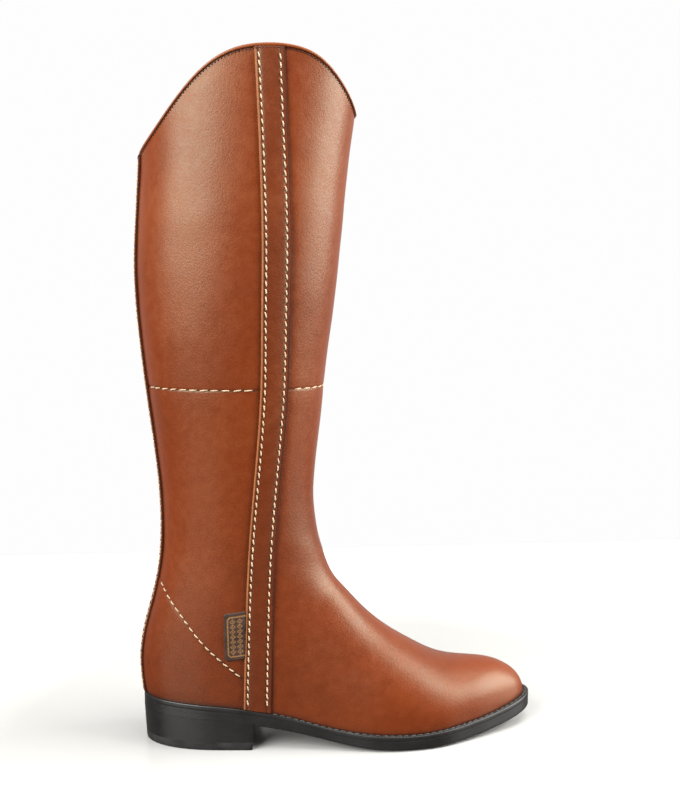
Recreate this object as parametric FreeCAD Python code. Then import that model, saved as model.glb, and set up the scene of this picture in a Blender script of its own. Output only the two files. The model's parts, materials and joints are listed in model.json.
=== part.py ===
"""One tall leather riding boot for the right foot, modelled piece by piece in millimetres.

+X points to the toe, +Y to the inner side of the leg (medial), +Z up. The boot stands on z = 0.

The upper is a smooth surface that is described once, by the square of its half-width at each
place of the side view (x, z). Leather pieces are patches of that surface, given a thickness
along its normal. Everything under the foot is a plan outline cut between two side profiles.
"""
import FreeCAD
import Part
import math
import os

V = FreeCAD.Vector

# ---------------------------------------------------------------- driving sizes
TOE_X = 139.0            # toe tip of the upper at the feather line
SOLE_T = 10.5            # welt, midsole and outsole together
WELT_T = 3.4
MIDSOLE_T = 2.6
TOP_PIECE_T = 6.0        # rubber heel tip
HEEL_BREAST_X = -57.0
LEATHER_T = 1.6
LINING_T = 0.9
STIFFENER_T = 1.1
STRAP_T = 1.4
GAP = 0.15               # glue line between two layers
SEAM_GAP = 0.3           # between two pieces that meet edge to edge
LINING_JOIN_Z = 252.0    # where the leg lining meets the foot lining
FACING_H = 36.0          # leather facing inside the top edge
BINDING_H = 3.0
ANKLE_Z = 150.0          # level lines are level above this height and fan out below it
FADE_Z = 340.0           # the top line's curve has died out by this height
PIVOT_X = 45.0           # the boot is drawn with its ball on z = 0 and then tipped forward
TILT = math.radians(1.4)  # about this line, so that the heel can be as high as it should be


def spline(points):
    """Natural cubic spline through (t, value) pairs, carried on straight beyond the ends."""
    t = [p[0] for p in points]
    y = [p[1] for p in points]
    n = len(t)
    h = [t[i + 1] - t[i] for i in range(n - 1)]
    c = [0.0] * n
    mu = [0.0] * n
    rhs = [0.0] * n
    for i in range(1, n - 1):
        jump = 3 * ((y[i + 1] - y[i]) / h[i] - (y[i] - y[i - 1]) / h[i - 1])
        pivot = 2 * (t[i + 1] - t[i - 1]) - h[i - 1] * mu[i - 1]
        mu[i] = h[i] / pivot
        rhs[i] = (jump - h[i - 1] * rhs[i - 1]) / pivot
    for i in range(n - 2, -1, -1):
        c[i] = rhs[i] - mu[i] * c[i + 1]
    first = (y[1] - y[0]) / h[0] - h[0] * (c[1] + 2 * c[0]) / 3
    last = (y[-1] - y[-2]) / h[-1] + h[-1] * (2 * c[-1] + c[-2]) / 3

    def value(x):
        if x <= t[0]:
            return y[0] + first * (x - t[0])
        if x >= t[-1]:
            return y[-1] + last * (x - t[-1])
        k = 0
        while x > t[k + 1]:
            k += 1
        b = (y[k + 1] - y[k]) / h[k] - h[k] * (c[k + 1] + 2 * c[k]) / 3
        u = x - t[k]
        return y[k] + u * (b + u * (c[k] + u * (c[k + 1] - c[k]) / (3 * h[k])))

    return value


# side view of the leg tube and the heel: back, front and half-width at each height
back_x = spline([(22, -137.4), (32, -138.7), (42, -139.8), (52, -140.3), (62, -139.9), (72, -138.4),
                 (95, -132.5), (120, -126.5), (150, -123.8), (185, -124.8), (235, -130.5), (285, -136),
                 (340, -138.6), (365, -137.2), (400, -134.8), (482, -131)])
front_x = spline([(22, -42), (90, -28), (130, -19.5), (165, -16.8), (200, -14.2), (225, -11.1), (250, -8.9),
                  (300, -2.5), (350, 3.3), (400, 8.3), (440, 13.5), (482, 19)])
tube_half_width = spline([(22, 31.5), (60, 33.5), (100, 34.5), (140, 35.5), (180, 37.5), (235, 42),
                          (290, 45.5), (340, 47), (400, 47), (440, 46.5), (482, 46)])
# side view of the foot: the ridge over the instep, and the feather line where the upper meets the welt
instep_z = spline([(-70, 170), (-30, 138.7), (0, 111.5), (20, 90), (40, 73.6), (60, 61), (75, 53.4),
                   (92, 49.8), (110, 48.6)])
feather_z = spline([(-142, 30), (-100, 29.8), (-64, 27.2), (-43, 23.8), (-20, 18.2), (0, 13.8), (20, 11.5),
                    (40, 10.9), (60, 11.2), (78, 12.5), (90, 13.6), (102, 15.1), (118, 17.8), (133, 21),
                    (142, 23.2)])
# plan view of the foot at the feather line: centre line and distances from it to either side
outer_foot_width = spline([(-60, 33), (-20, 34.5), (10, 37.5), (30, 40.2), (50, 40.5), (65, 40), (78, 38.6),
                           (90, 35.3), (101, 31.5), (116, 27.6), (124, 26.4), (131, 25.5), (139, 25)])
inner_foot_width = spline([(-60, 31), (-20, 29.5), (10, 32.5), (30, 37), (50, 40.6), (65, 40.4), (78, 38.8),
                           (90, 35.3), (101, 31.5), (116, 27.6), (124, 26.4), (131, 25.5), (139, 25)])
centre_y = spline([(-142, 0), (0, 0), (30, 0.1), (48, 0.6), (65, 2.6), (78, 5.4), (90, 8), (101, 10),
                   (116, 13), (124, 14.3), (131, 15.1), (139, 15.4)])
# side view of the top line, the side seam and the strap that covers it
top_z = spline([(-137, 408), (-127, 417), (-106, 440.8), (-88, 459.4), (-66, 472.3), (-45, 475.9),
                (-26, 475.1), (-8, 468), (5, 454), (10, 445.8), (13, 439), (15.5, 431)])
seam_x = spline([(22, -54.7), (66, -53.7), (108, -52.4), (151, -50), (212, -44.4), (251, -41.3),
                 (300, -39.8), (350, -38.7), (400, -39.6), (475, -42.3)])
strap_half_width = spline([(22, 9.6), (100, 9.2), (150, 8.95), (206, 8.8), (250, 9), (300, 9.3), (377, 9.5),
                           (420, 9.4), (478, 9.7)])

OUTER, INNER = -1, 1     # the two sides of the boot, as the sign of y


def smooth_step(a, b, x):
    """0 before a, 1 after b."""
    t = min(1.0, max(0.0, (x - a) / (b - a)))
    return t * t * (3 - 2 * t)


def between(a, b, t):
    return a + (b - a) * t


def smooth_max(a, b, reach):
    overlap = max(reach - abs(a - b), 0.0) / reach
    return max(a, b) + overlap * overlap * reach / 4


def ridge_z(x):
    """Top profile of the foot, rounded down over the toe."""
    start = 92.0
    if x <= start:
        return instep_z(x)
    t = min(1.0, (x - start) / (TOE_X - start))
    low = feather_z(x)
    return low + (instep_z(x) - low) * math.sqrt(1 - t ** 3.1)


def foot_width(x):
    return (outer_foot_width(x) + inner_foot_width(x)) / 2


def width_square(x, z):
    """Square of the mean half-width at a place of the side view; below 0 outside the boot."""
    middle = (front_x(z) + back_x(z)) / 2
    reach = (front_x(z) - back_x(z)) / 2
    tube = tube_half_width(z) ** 2 * (1 - ((x - middle) / reach) ** 2)
    if x >= TOE_X:
        return -100.0 * (x - TOE_X + 0.01)
    toe = 1.0 if x < 100 else 1 - ((x - 100) / (TOE_X - 100)) ** 2
    heelward = 1.0 if x > -35 else 1 - ((-35 - x) / 65) ** 2
    wall = feather_z(x) + between(8.0, 0.8, smooth_step(95, 136, x))
    rise = max(z - wall, 0.0) / max(ridge_z(x) - wall, 1.0)
    foot = foot_width(x) ** 2 * toe * (heelward - rise ** 2)
    return smooth_max(tube, foot, 1500.0)


def side_share(x, z, side):
    """How much wider than the mean one side is: the outer ball of the foot and the inner waist."""
    own = outer_foot_width(x) if side == OUTER else inner_foot_width(x)
    low = 1 - smooth_step(40, 110, z)
    return 1 + (own / foot_width(x) - 1) * low * smooth_step(-95, -55, x)


def half_width(x, z, side):
    return math.sqrt(max(width_square(x, z), 0.0)) * side_share(x, z, side)


def surface(x, z, side, lift=0.0):
    """Point of the upper's outer surface at a place of the side view, moved out by lift along the normal."""
    e = 0.05
    share = side_share(x, z, side)
    flat = half_width(x, z, side)
    gx = (width_square(x + e, z) - width_square(x - e, z)) / (2 * e) * share ** 2
    gz = (width_square(x, z + e) - width_square(x, z - e)) / (2 * e) * share ** 2
    bend = (centre_y(x + e) - centre_y(x - e)) / (2 * e)
    y = side * flat
    normal = V(-gx - 2 * y * bend, 2 * y, -gz)
    if normal.Length < 1e-9:
        normal = V(1, 0, 0)
    normal.normalize()
    return V(x, centre_y(x) + y, z) + normal * lift


# ---------------------------------------------------------------- ways round the upper
SEAM_TOP = 475.9         # height of the top line at the side seam


def level_z(level, x):
    """Height at x of the level line that crosses the side seam at a given height.

    The first level lines follow the feather line, the last follow the top line, and those
    between fan out over the instep.
    """
    seam = seam_x(level)
    height = level + (top_z(x) - top_z(seam)) * smooth_step(FADE_Z, SEAM_TOP, level)
    low = min(1.0, max(0.0, (ANKLE_Z - level) / (ANKLE_Z - 32.0)))
    if x <= seam:
        return height + low ** 1.5 * (feather_z(x) - feather_z(seam))
    chord = (feather_z(TOE_X) - feather_z(seam)) / (TOE_X - seam)
    fan = math.tan(math.radians(17 * math.sin(math.pi * low)))
    sag = feather_z(x) - feather_z(seam) - chord * (x - seam)
    return height + (x - seam) * (fan * (1 - low ** 3) + chord * low ** 3) + low ** 1.5 * sag


def level_end(level, way):
    """Place where a level line leaves the side view, to the front (+1) or to the back (-1)."""
    x = seam_x(level)
    while width_square(x + 2 * way, level_z(level, x + 2 * way)) > 0:
        x += 2 * way
    near, far = x, x + 2 * way
    for _ in range(40):
        x = (near + far) / 2
        if width_square(x, level_z(level, x)) > 0:
            near = x
        else:
            far = x
    return near


level_span = {}


def span(level):
    key = round(level, 4)
    if key not in level_span:
        front = level_end(level, 1)
        back = level_end(level, -1)
        level_span[key] = ((front + back) / 2, (front - back) / 2)
    return level_span[key]


def angle_at(level, x):
    """Angle round the leg: 0 at the front, pi at the back."""
    middle, reach = span(level)
    return math.acos(min(1.0, max(-1.0, (x - middle) / reach)))


def on_level(level, angle, lift):
    """Point at an angle round the leg; positive angles are on the outer side, negative on the inner."""
    middle, reach = span(level)
    x = middle + reach * math.cos(angle)
    side = OUTER if math.sin(angle) >= 0 else INNER
    return surface(x, level_z(level, x), side, lift)


def spread(a, b, count):
    return [between(a, b, i / (count - 1)) for i in range(count)]


# ---------------------------------------------------------------- solids
def as_solid(faces, name):
    shape = Part.makeShell(faces)
    shape.sewShape(0.01)
    solid = Part.makeSolid(shape.Shells[0] if shape.Shells else shape)
    if solid.Volume < 0:
        solid.reverse()
    if not solid.isValid():
        solid.fix(0.01, 0.01, 0.01)
    if not solid.isValid() or solid.Volume <= 0:
        print("not sound:", name, solid.Volume)
    return solid


def surface_through(grid):
    sheet = Part.BSplineSurface()
    sheet.interpolate(grid)
    return sheet


def leather(name, place, rows, columns, outer_lift, inner_lift):
    """A piece of the upper: place(v, u, lift) gives points, v from the lower to the upper edge."""
    def grid(lift):
        return [[place(v, u, lift) for u in columns] for v in rows]

    outer = surface_through(grid(outer_lift))
    inner = surface_through(grid(inner_lift))
    u0, u1, v0, v1 = outer.bounds()
    a0, a1, b0, b1 = inner.bounds()
    rims = [(outer.uIso(u0), inner.uIso(a0)), (outer.uIso(u1), inner.uIso(a1)),
            (outer.vIso(v0), inner.vIso(b0)), (outer.vIso(v1), inner.vIso(b1))]
    faces = [outer.toShape(), inner.toShape()]
    for first, second in rims:
        faces.append(Part.makeRuledSurface(first.toShape(), second.toShape()))
    return as_solid(faces, name)


def loop_curve(points):
    curve = Part.BSplineCurve()
    curve.interpolate(Points=points, PeriodicFlag=True)
    return Part.Wire([curve.toShape()])


def open_curve(points):
    curve = Part.BSplineCurve()
    curve.interpolate(points)
    return curve.toShape()


def side_slab(low, high, x0=-150.0, x1=150.0, count=41):
    """Everything between two side profiles, as wide as the boot."""
    xs = spread(x0, x1, count)
    bottom = open_curve([V(x, -70, low(x)) for x in xs])
    top = open_curve([V(x, -70, high(x)) for x in xs])
    front = Part.makeLine(V(x1, -70, low(x1)), V(x1, -70, high(x1)))
    back = Part.makeLine(V(x0, -70, low(x0)), V(x0, -70, high(x0)))
    return Part.Face(Part.Wire([bottom, front, top, back])).extrude(V(0, 140, 0))


def box(x0, x1, y0, y1, z0, z1):
    return Part.makeBox(x1 - x0, y1 - y0, z1 - z0, V(x0, y0, z0))


# ---------------------------------------------------------------- outlines under the foot
def outline_z(x):
    return feather_z(x) + 1.5


def outline_end(way):
    """Place where the outline of the upper turns round the toe (+1) or the heel (-1)."""
    near, far = -50.0, way * 150.0
    for _ in range(50):
        x = (near + far) / 2
        if width_square(x, outline_z(x)) > 0:
            near = x
        else:
            far = x
    return near


def foot_loop(count=72):
    """Outline of the upper just above the feather line, from the toe round the outer side."""
    middle = (outline_end(1) + outline_end(-1)) / 2
    reach = (outline_end(1) - outline_end(-1)) / 2
    points = []
    for i in range(count):
        angle = 2 * math.pi * (i + 0.5) / count
        x = middle + reach * math.cos(angle)
        side = OUTER if math.sin(angle) > 0 else INNER
        flat = surface(x, outline_z(x), side)
        points.append(V(flat.x, flat.y, 0))
    return points


def moved_out(points, margin):
    """The same outline moved outwards by margin(x)."""
    moved = []
    for i, p in enumerate(points):
        along = points[(i + 1) % len(points)] - points[i - 1]
        out = V(-along.y, along.x, 0).normalize()
        moved.append(p - out * margin(p.x) * TURN)
    return moved


foot_outline = foot_loop()
area = sum(a.x * b.y - b.x * a.y for a, b in zip(foot_outline, foot_outline[1:] + foot_outline[:1]))
TURN = 1 if area > 0 else -1

sole_margin = spline([(-142, 0.9), (-75, 1.0), (-45, 1.6), (-10, 2.2), (30, 3.0), (80, 3.2), (120, 3.2),
                      (134, 4.0), (142, 4.2)])
sole_bottom_line = spline([(-142, 20), (-100, 20), (-57.6, 16.4), (-43.6, 13.7), (-31.9, 10.9), (-20.3, 8.1),
                           (-8.6, 5.6), (3, 3.2), (14.6, 1.4), (26, 0.4), (38, 0), (50, 0), (65, 0.4),
                           (78, 1.1), (90, 2.0), (102.5, 3.5), (118, 5.9), (133, 9.2), (142, 11.6)])


def sole_bottom(x):
    ground = (x - PIVOT_X) * math.tan(TILT)
    return max(0.0, ground, sole_bottom_line(x))


def tipped(shape):
    """The shape turned from the drawing position to the standing position."""
    turned = shape.copy()
    turned.rotate(V(PIVOT_X, 0, 0), V(0, 1, 0), math.degrees(TILT))
    return turned


def upright(points, z0=-5.0, z1=45.0):
    raised = [V(p.x, p.y, z0) for p in points]
    return Part.Face(loop_curve(raised)).extrude(V(0, 0, z1 - z0))


def sole_layer(margin, low, high):
    return upright(moved_out(foot_outline, margin)).common(side_slab(low, high))


def below_feather(depth):
    return lambda x: feather_z(x) - depth


def inset(distance):
    return lambda x: -distance


# ---------------------------------------------------------------- the pieces
nodes = {}

upper_rows = [26.2, 28, 30, 33, 36, 39, 42, 45, 48, 50.2, 52, 53.5, 54.8, 56, 57.4, 59, 61, 63.5, 66.5,
              70, 74, 78.5, 83.5, 89, 95, 101.5, 108.5, 116, 124, 132.5, 141.5, 151, 161, 172, 184, 197,
              211, 226, 241, 256, 271, 286, 301, 316, 331, 346, 361, 376, 391, 406, 420, 433, 445, 456,
              464, 470.5, SEAM_TOP]
strap_rows = [26.5] + upper_rows[1:-2] + [468, 472.2]


def closer_at_ends(a, b, count):
    """Spread of values that stand closer together near both ends."""
    middle = (a + b) / 2
    reach = (b - a) / 2
    return [middle + reach * between(u, math.sin(math.pi / 2 * u), 0.6) for u in spread(-1, 1, count)]


def front_place(level, t, lift):
    seam = angle_at(level, seam_x(level) + SEAM_GAP / 2)
    return on_level(level, t * seam, lift)


def quarter_place(side):
    def place(level, t, lift):
        seam = angle_at(level, seam_x(level) - SEAM_GAP / 2)
        middle, reach = span(level)
        back = math.pi - SEAM_GAP / 2 / 30
        return on_level(level, -side * between(seam, back, t), lift)
    return place


def strap_place(side):
    def place(level, t, lift):
        half = strap_half_width(level)
        angle = angle_at(level, seam_x(level) + between(-half, half, t))
        return on_level(level, -side * angle, lift)
    return place


back_turn = {}


def back_strap_turn(level):
    """Angle from the back line at which the upper is half a strap's width off the middle plane."""
    if level not in back_turn:
        half = between(10.0, 11.5, smooth_step(60, 300, level))
        near, far = 0.0, 1.2
        for _ in range(30):
            turn = (near + far) / 2
            if abs(on_level(level, math.pi - turn, 0).y) < half:
                near = turn
            else:
                far = turn
        back_turn[level] = near
    return back_turn[level]


def back_strap_place(level, t, lift):
    turn = back_strap_turn(level)
    return on_level(level, math.pi + between(-turn, turn, t), lift)


quarter_columns = closer_at_ends(0, 1, 27)
front_columns = closer_at_ends(-1, 1, 57)
nodes["front_panel"] = leather("front_panel", front_place, upper_rows, front_columns, 0, -LEATHER_T)
nodes["outer_quarter"] = leather("outer_quarter", quarter_place(OUTER), upper_rows, quarter_columns,
                                 0, -LEATHER_T)
nodes["inner_quarter"] = leather("inner_quarter", quarter_place(INNER), upper_rows, quarter_columns,
                                 0, -LEATHER_T)
nodes["outer_side_strap"] = leather("outer_side_strap", strap_place(OUTER), strap_rows, spread(0, 1, 7),
                                    GAP + STRAP_T, GAP)
nodes["inner_side_strap"] = leather("inner_side_strap", strap_place(INNER), strap_rows, spread(0, 1, 7),
                                    GAP + STRAP_T, GAP)
nodes["back_strap"] = leather("back_strap", back_strap_place, strap_rows, spread(0, 1, 9), GAP + STRAP_T, GAP)

# stiffeners between the upper and its lining
counter_top = spline([(-146, 124), (-126, 112), (-109, 91), (-95, 73), (-80, 58), (-64, 46)])
COUNTER_FRONT_X = -66.0
PUFF_BACK_X = 92.0


def stiffened(x, z):
    """1 where a stiffener lies between the upper and the lining, fading to 0 around it."""
    heel = (1 - smooth_step(-63, -38, x)) * (1 - smooth_step(counter_top(x) + 1, counter_top(x) + 24, z))
    toe = smooth_step(PUFF_BACK_X - 14, PUFF_BACK_X, x)
    return max(heel, toe)


def lining_lift(x, z):
    return -LEATHER_T - GAP - (STIFFENER_T + 2 * GAP) * stiffened(x, z)


def lining(name, rows, start, end, count):
    """Lining between two angles; lift 0 stands for its outer face and 1 for its inner face."""
    def place(level, t, face):
        angle = between(start(level), end(level), t)
        middle, reach = span(level)
        x = middle + reach * math.cos(angle)
        lift = lining_lift(x, level_z(level, x)) - face * LINING_T
        return on_level(level, angle, lift)
    return leather(name, place, rows, closer_at_ends(0, 1, count), 0, 1)


def counter_place(v, t, lift):
    turn = between(-1.0, 1.0, t)
    bottom = 31.2
    middle, reach = span(bottom)
    side = INNER if turn > 0 else OUTER
    far = math.pi - angle_at(bottom, COUNTER_FRONT_X)
    x = middle - reach * math.cos(turn * far)
    low = level_z(bottom, x)
    share = between(1.0, 0.0, (x + 140.3) / (COUNTER_FRONT_X + 140.3))
    shifted = x
    for _ in range(12):
        z = between(low, counter_top(shifted), v)
        shifted = max(x + share * (back_x(z) - back_x(low) + 0.02), back_x(z))
    return surface(shifted, z, side, lift)


def puff_place(level, t, lift):
    edge = angle_at(level, PUFF_BACK_X)
    return on_level(level, between(-edge, edge, t), lift)


def seam_angle(level):
    return angle_at(level, seam_x(level))


FACING_LOW = SEAM_TOP - FACING_H
lining_low = 31.35
foot_rows = [lining_low, 33.5, 36, 39, 42, 45, 47.5, 49.7, 51.5, 53, 54.5, 56, 58, 60.5, 64, 68, 72, 76, 81,
             86, 91, 97, 103, 109, 115, 122, 129, 136, 143, 151, 163, 178, 194, 210, 224, 238,
             LINING_JOIN_Z - GAP]
leg_rows = spread(LINING_JOIN_Z + GAP, FACING_LOW - GAP, 12)
facing_rows = spread(FACING_LOW + GAP, SEAM_TOP - 0.1, 9)
BACK_GAP = 0.005

nodes["heel_counter"] = leather("heel_counter", counter_place, spread(0, 1, 13), spread(0, 1, 37),
                                -LEATHER_T - GAP, -LEATHER_T - GAP - STIFFENER_T)
nodes["toe_puff"] = leather("toe_puff", puff_place, [31.2, 33, 35, 37, 39, 41, 43, 45, 46.5, 47.8],
                            spread(0, 1, 25), -LEATHER_T - GAP, -LEATHER_T - GAP - STIFFENER_T)
nodes["vamp_lining"] = lining("vamp_lining", foot_rows, lambda z: -seam_angle(z) + BACK_GAP,
                              lambda z: seam_angle(z) - BACK_GAP, 53)
nodes["heel_lining"] = lining("heel_lining", foot_rows, lambda z: seam_angle(z) + BACK_GAP,
                              lambda z: 2 * math.pi - seam_angle(z) - BACK_GAP, 49)
nodes["leg_lining_front"] = lining("leg_lining_front", leg_rows, lambda z: -seam_angle(z) + BACK_GAP,
                                   lambda z: seam_angle(z) - BACK_GAP, 27)
nodes["leg_lining_back"] = lining("leg_lining_back", leg_rows, lambda z: seam_angle(z) + BACK_GAP,
                                  lambda z: 2 * math.pi - seam_angle(z) - BACK_GAP, 31)
nodes["outer_top_facing"] = lining("outer_top_facing", facing_rows, lambda z: BACK_GAP,
                                   lambda z: math.pi - BACK_GAP, 41)
nodes["inner_top_facing"] = lining("inner_top_facing", facing_rows, lambda z: -BACK_GAP,
                                   lambda z: BACK_GAP - math.pi, 41)


# the binding is folded over the top edge of upper and facing
def binding():
    lap = BINDING_H
    skin = 0.8
    inside = -LEATHER_T - GAP - LINING_T - GAP
    corners = [(SEAM_TOP - lap, GAP), (SEAM_TOP - lap, GAP + skin), (SEAM_TOP + GAP, GAP + skin),
               (SEAM_TOP + GAP + skin, GAP), (SEAM_TOP + GAP + skin, inside), (SEAM_TOP + GAP, inside - skin),
               (SEAM_TOP - lap, inside - skin), (SEAM_TOP - lap, inside), (SEAM_TOP + GAP, inside),
               (SEAM_TOP + GAP, GAP)]
    rails = []
    for level, lift in corners:
        low = min(level, SEAM_TOP)
        up = V(0, 0, level - low)
        rails.append([on_level(low, -math.pi + 2 * math.pi * i / 80, lift) + up for i in range(80)])
    edges = [loop_curve(rail).Edges[0] for rail in rails]
    faces = []
    for i in range(len(edges)):
        faces.append(Part.makeRuledSurface(edges[i], edges[(i + 1) % len(edges)]))
    return as_solid(faces, "top_binding")


nodes["top_binding"] = binding()


# a blank leather tab tucked against the rear edge of the outer strap
def tab_place(v, t, lift):
    z = between(64.5, 98.5, v)
    front = seam_x(z) - strap_half_width(z) - 0.3
    return surface(between(front - 14.5, front, t), z, OUTER, lift)


nodes["side_tab"] = leather("side_tab", tab_place, spread(0, 1, 5), spread(0, 1, 5), GAP + 0.9, GAP)

# ---------------------------------------------------------------- under the foot
RING_INSET = 5.0         # width of the welt that lies under the upper
RIB_T = 1.4
midsole_low = WELT_T + MIDSOLE_T
welt_top = below_feather(0.0)
welt_low = below_feather(WELT_T)
whole_welt = sole_layer(sole_margin, welt_low, welt_top)
ring_hole = upright(moved_out(foot_outline, inset(RING_INSET)))
whole_welt = whole_welt.cut(ring_hole)
nodes["welt"] = whole_welt.common(box(HEEL_BREAST_X + 1.2, 150, -70, 70, -5, 45))
nodes["heel_rand"] = whole_welt.common(box(-150, HEEL_BREAST_X + 1.0, -70, 70, -5, 45))

rib = sole_layer(inset(RING_INSET + 0.2), below_feather(2.6), below_feather(0.0))
nodes["insole_rib"] = rib.cut(upright(moved_out(foot_outline, inset(RING_INSET + 0.2 + RIB_T))))

shank = box(-98, 8, -6, 6, -5, 45).common(side_slab(below_feather(1.4), below_feather(0.2)))
shank_bed = box(-98.3, 8.3, -6.3, 6.3, -5, 45).common(side_slab(below_feather(1.5), below_feather(-1)))
nodes["shank"] = shank
cork = sole_layer(inset(RING_INSET + 0.4 + RIB_T), below_feather(WELT_T), below_feather(0.0))
nodes["cork_filler"] = cork.cut(shank_bed)

nodes["insole"] = sole_layer(inset(LEATHER_T + 0.7), below_feather(-0.1), below_feather(-3.0))
nodes["sock_liner"] = sole_layer(inset(LEATHER_T + STIFFENER_T + LINING_T + 1.0), below_feather(-3.15),
                                 below_feather(-4.0))
midsole = sole_layer(sole_margin, below_feather(midsole_low), below_feather(WELT_T + GAP))
outsole = sole_layer(sole_margin, sole_bottom, below_feather(midsole_low + GAP))


# ---------------------------------------------------------------- the heel
HEEL_LOW = -6.0          # the heel is drawn down to here and cut level after tipping


def heel_outline(z, margin):
    """D-shaped outline: the sole's back end, straight sides and a slightly hollow breast."""
    taper = between(1.3, 0.0, (z + 4.0) / 24.0)
    edge = moved_out(foot_outline, lambda x: sole_margin(x) + margin - taper)
    breast = HEEL_BREAST_X + margin - 1.5 * taper
    back = [p for p in edge if p.x < breast - 4]
    outer_end = max((p for p in back if p.y < 0), key=lambda p: p.x)
    inner_end = max((p for p in back if p.y > 0), key=lambda p: p.x)
    order = sorted(back, key=lambda p: math.atan2(p.y, p.x + 90.0) % (2 * math.pi))
    curve = [V(p.x, p.y, z) for p in order]
    outer_corner = V(breast, outer_end.y - 0.5, z)
    inner_corner = V(breast, inner_end.y + 0.5, z)
    side = Part.BSplineCurve()
    side.interpolate([inner_corner] + curve + [outer_corner])
    hollow = Part.Arc(outer_corner, V(breast - 2.5, 0, z), inner_corner)
    return Part.Wire([side.toShape(), hollow.toShape()])


heel_block = Part.makeLoft([heel_outline(HEEL_LOW, 0.0), heel_outline(20.0, 0.0)], True, True)
heel_seat = side_slab(lambda x: HEEL_LOW - 1, lambda x: sole_bottom(x) - 0.1, -150, -52)
heel_block = tipped(heel_block.common(heel_seat))


def heel_layer(low, high):
    return heel_block.common(box(-160, -40, -60, 60, low, high))


LIFTS = 4
LIFT_T = 4.1
heel_parts = {"top_piece": heel_layer(0.0, TOP_PIECE_T - 0.1)}
for i in range(LIFTS):
    low = TOP_PIECE_T + i * LIFT_T
    high = low + LIFT_T - 0.1 if i < LIFTS - 1 else 30.0
    heel_parts["heel_lift_%d" % (i + 1)] = heel_layer(low, high)


# nails and pins
def rod(x, y, z0, z1, diameter):
    return Part.makeCylinder(diameter / 2, z1 - z0, V(x, y, z0))


pin_places = [(-62, 22), (-62, -22), (-84, 25.5), (-84, -25.5), (-108, 24.5), (-108, -24.5), (-127, 14),
              (-127, -14)]
nail_places = [(-75, 12), (-75, -12), (-112, 12), (-112, -12), (-95, 0)]
heel_parts["top_piece_pins"] = Part.makeCompound([rod(x, y, 0.1, 12.0, 2.0) for x, y in pin_places])
pin_holes = Part.makeCompound([rod(x, y, -1, 12.2, 2.2) for x, y in pin_places])
nodes["heel_nails"] = Part.makeCompound([rod(x, y, 10.8, 24.4, 2.4) for x, y in nail_places])
nail_holes = Part.makeCompound([rod(x, y, 10.6, 24.6, 2.6) for x, y in nail_places])
nodes["midsole"] = midsole.cut(nail_holes)
nodes["outsole"] = outsole.cut(nail_holes)
for name in ["top_piece"] + ["heel_lift_%d" % (i + 1) for i in range(LIFTS)]:
    heel_parts[name] = heel_parts[name].cut(pin_holes).cut(tipped(nail_holes))

# ---------------------------------------------------------------- pull loops
LOOP_X = -58.0           # middle of each loop along the boot
LOOP_W = 24.0
LOOP_L = 62.0
WEB_T = 1.3
HINGE_Z = 437.0


def pull_loop(side):
    """A band of webbing folded to a loop, hanging inside the leg from the seam line at its top."""
    inner_face = lining_lift(0, 400) - LINING_T
    walls = [surface(x, HINGE_Z, side, inner_face) for x in (LOOP_X - LOOP_W / 2, LOOP_X + LOOP_W / 2)]
    outer_y = min(abs(p.y) for p in walls) - 1.7
    eye = 1.9
    bulge = 3.0
    lean = 1.4

    def outline(shrink):
        r = eye - shrink
        low = bulge - shrink
        y = outer_y - eye
        top_arc = Part.Arc(V(0, y + r, HINGE_Z), V(0, y, HINGE_Z + r), V(0, y - r, HINGE_Z))
        end_z = HINGE_Z - LOOP_L
        end_y = y - lean
        end_arc = Part.Arc(V(0, end_y - low, end_z), V(0, end_y, end_z - low), V(0, end_y + low, end_z))
        sides = [Part.makeLine(V(0, y - r, HINGE_Z), V(0, end_y - low, end_z)),
                 Part.makeLine(V(0, end_y + low, end_z), V(0, y + r, HINGE_Z))]
        return Part.Wire([top_arc.toShape(), sides[0], end_arc.toShape(), sides[1]])

    solid = Part.Face(outline(0)).extrude(V(LOOP_W, 0, 0))
    solid = solid.cut(Part.Face(outline(WEB_T)).extrude(V(LOOP_W, 0, 0)))
    solid.translate(V(LOOP_X - LOOP_W / 2, 0, 0))
    if side == OUTER:
        solid = solid.mirror(V(0, 0, 0), V(0, 1, 0))
    return solid, side * (outer_y - eye)


nodes["outer_pull_loop"], outer_hinge_y = pull_loop(OUTER)
nodes["inner_pull_loop"], inner_hinge_y = pull_loop(INNER)


# the ends of each loop are sewn to a leather patch on the facing
def patch_place(side):
    def place(v, t, lift):
        z = between(HINGE_Z - 1.5, HINGE_Z + 14.0, v)
        x = between(LOOP_X - LOOP_W / 2 - 3, LOOP_X + LOOP_W / 2 + 3, t)
        return surface(x, z, side, lift)
    return place


patch_lift = -LEATHER_T - 2 * GAP - LINING_T
for name, side in (("outer_loop_patch", OUTER), ("inner_loop_patch", INNER)):
    nodes[name] = leather(name, patch_place(side), spread(0, 1, 5), spread(0, 1, 7),
                          patch_lift, patch_lift - 0.8)

# ---------------------------------------------------------------- tip the boot on to its heel
for name in nodes:
    nodes[name] = tipped(nodes[name])
nodes.update(heel_parts)

# ---------------------------------------------------------------- write one file for each piece
os.makedirs("parts", exist_ok=True)
for name in sorted(nodes):
    shape = nodes[name]
    if not shape.isValid():
        print("not valid:", name)
    shape.exportStep("parts/%s.step" % name)
print("pieces:", len(nodes), "hinge y:", round(outer_hinge_y, 2), round(inner_hinge_y, 2))
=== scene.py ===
"""The looks of a tall riding boot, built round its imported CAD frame. Lengths are in mm until a mesh is made."""
import json
import math

import bmesh
import bpy
import numpy as np
from mathutils import Matrix, Vector

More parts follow.
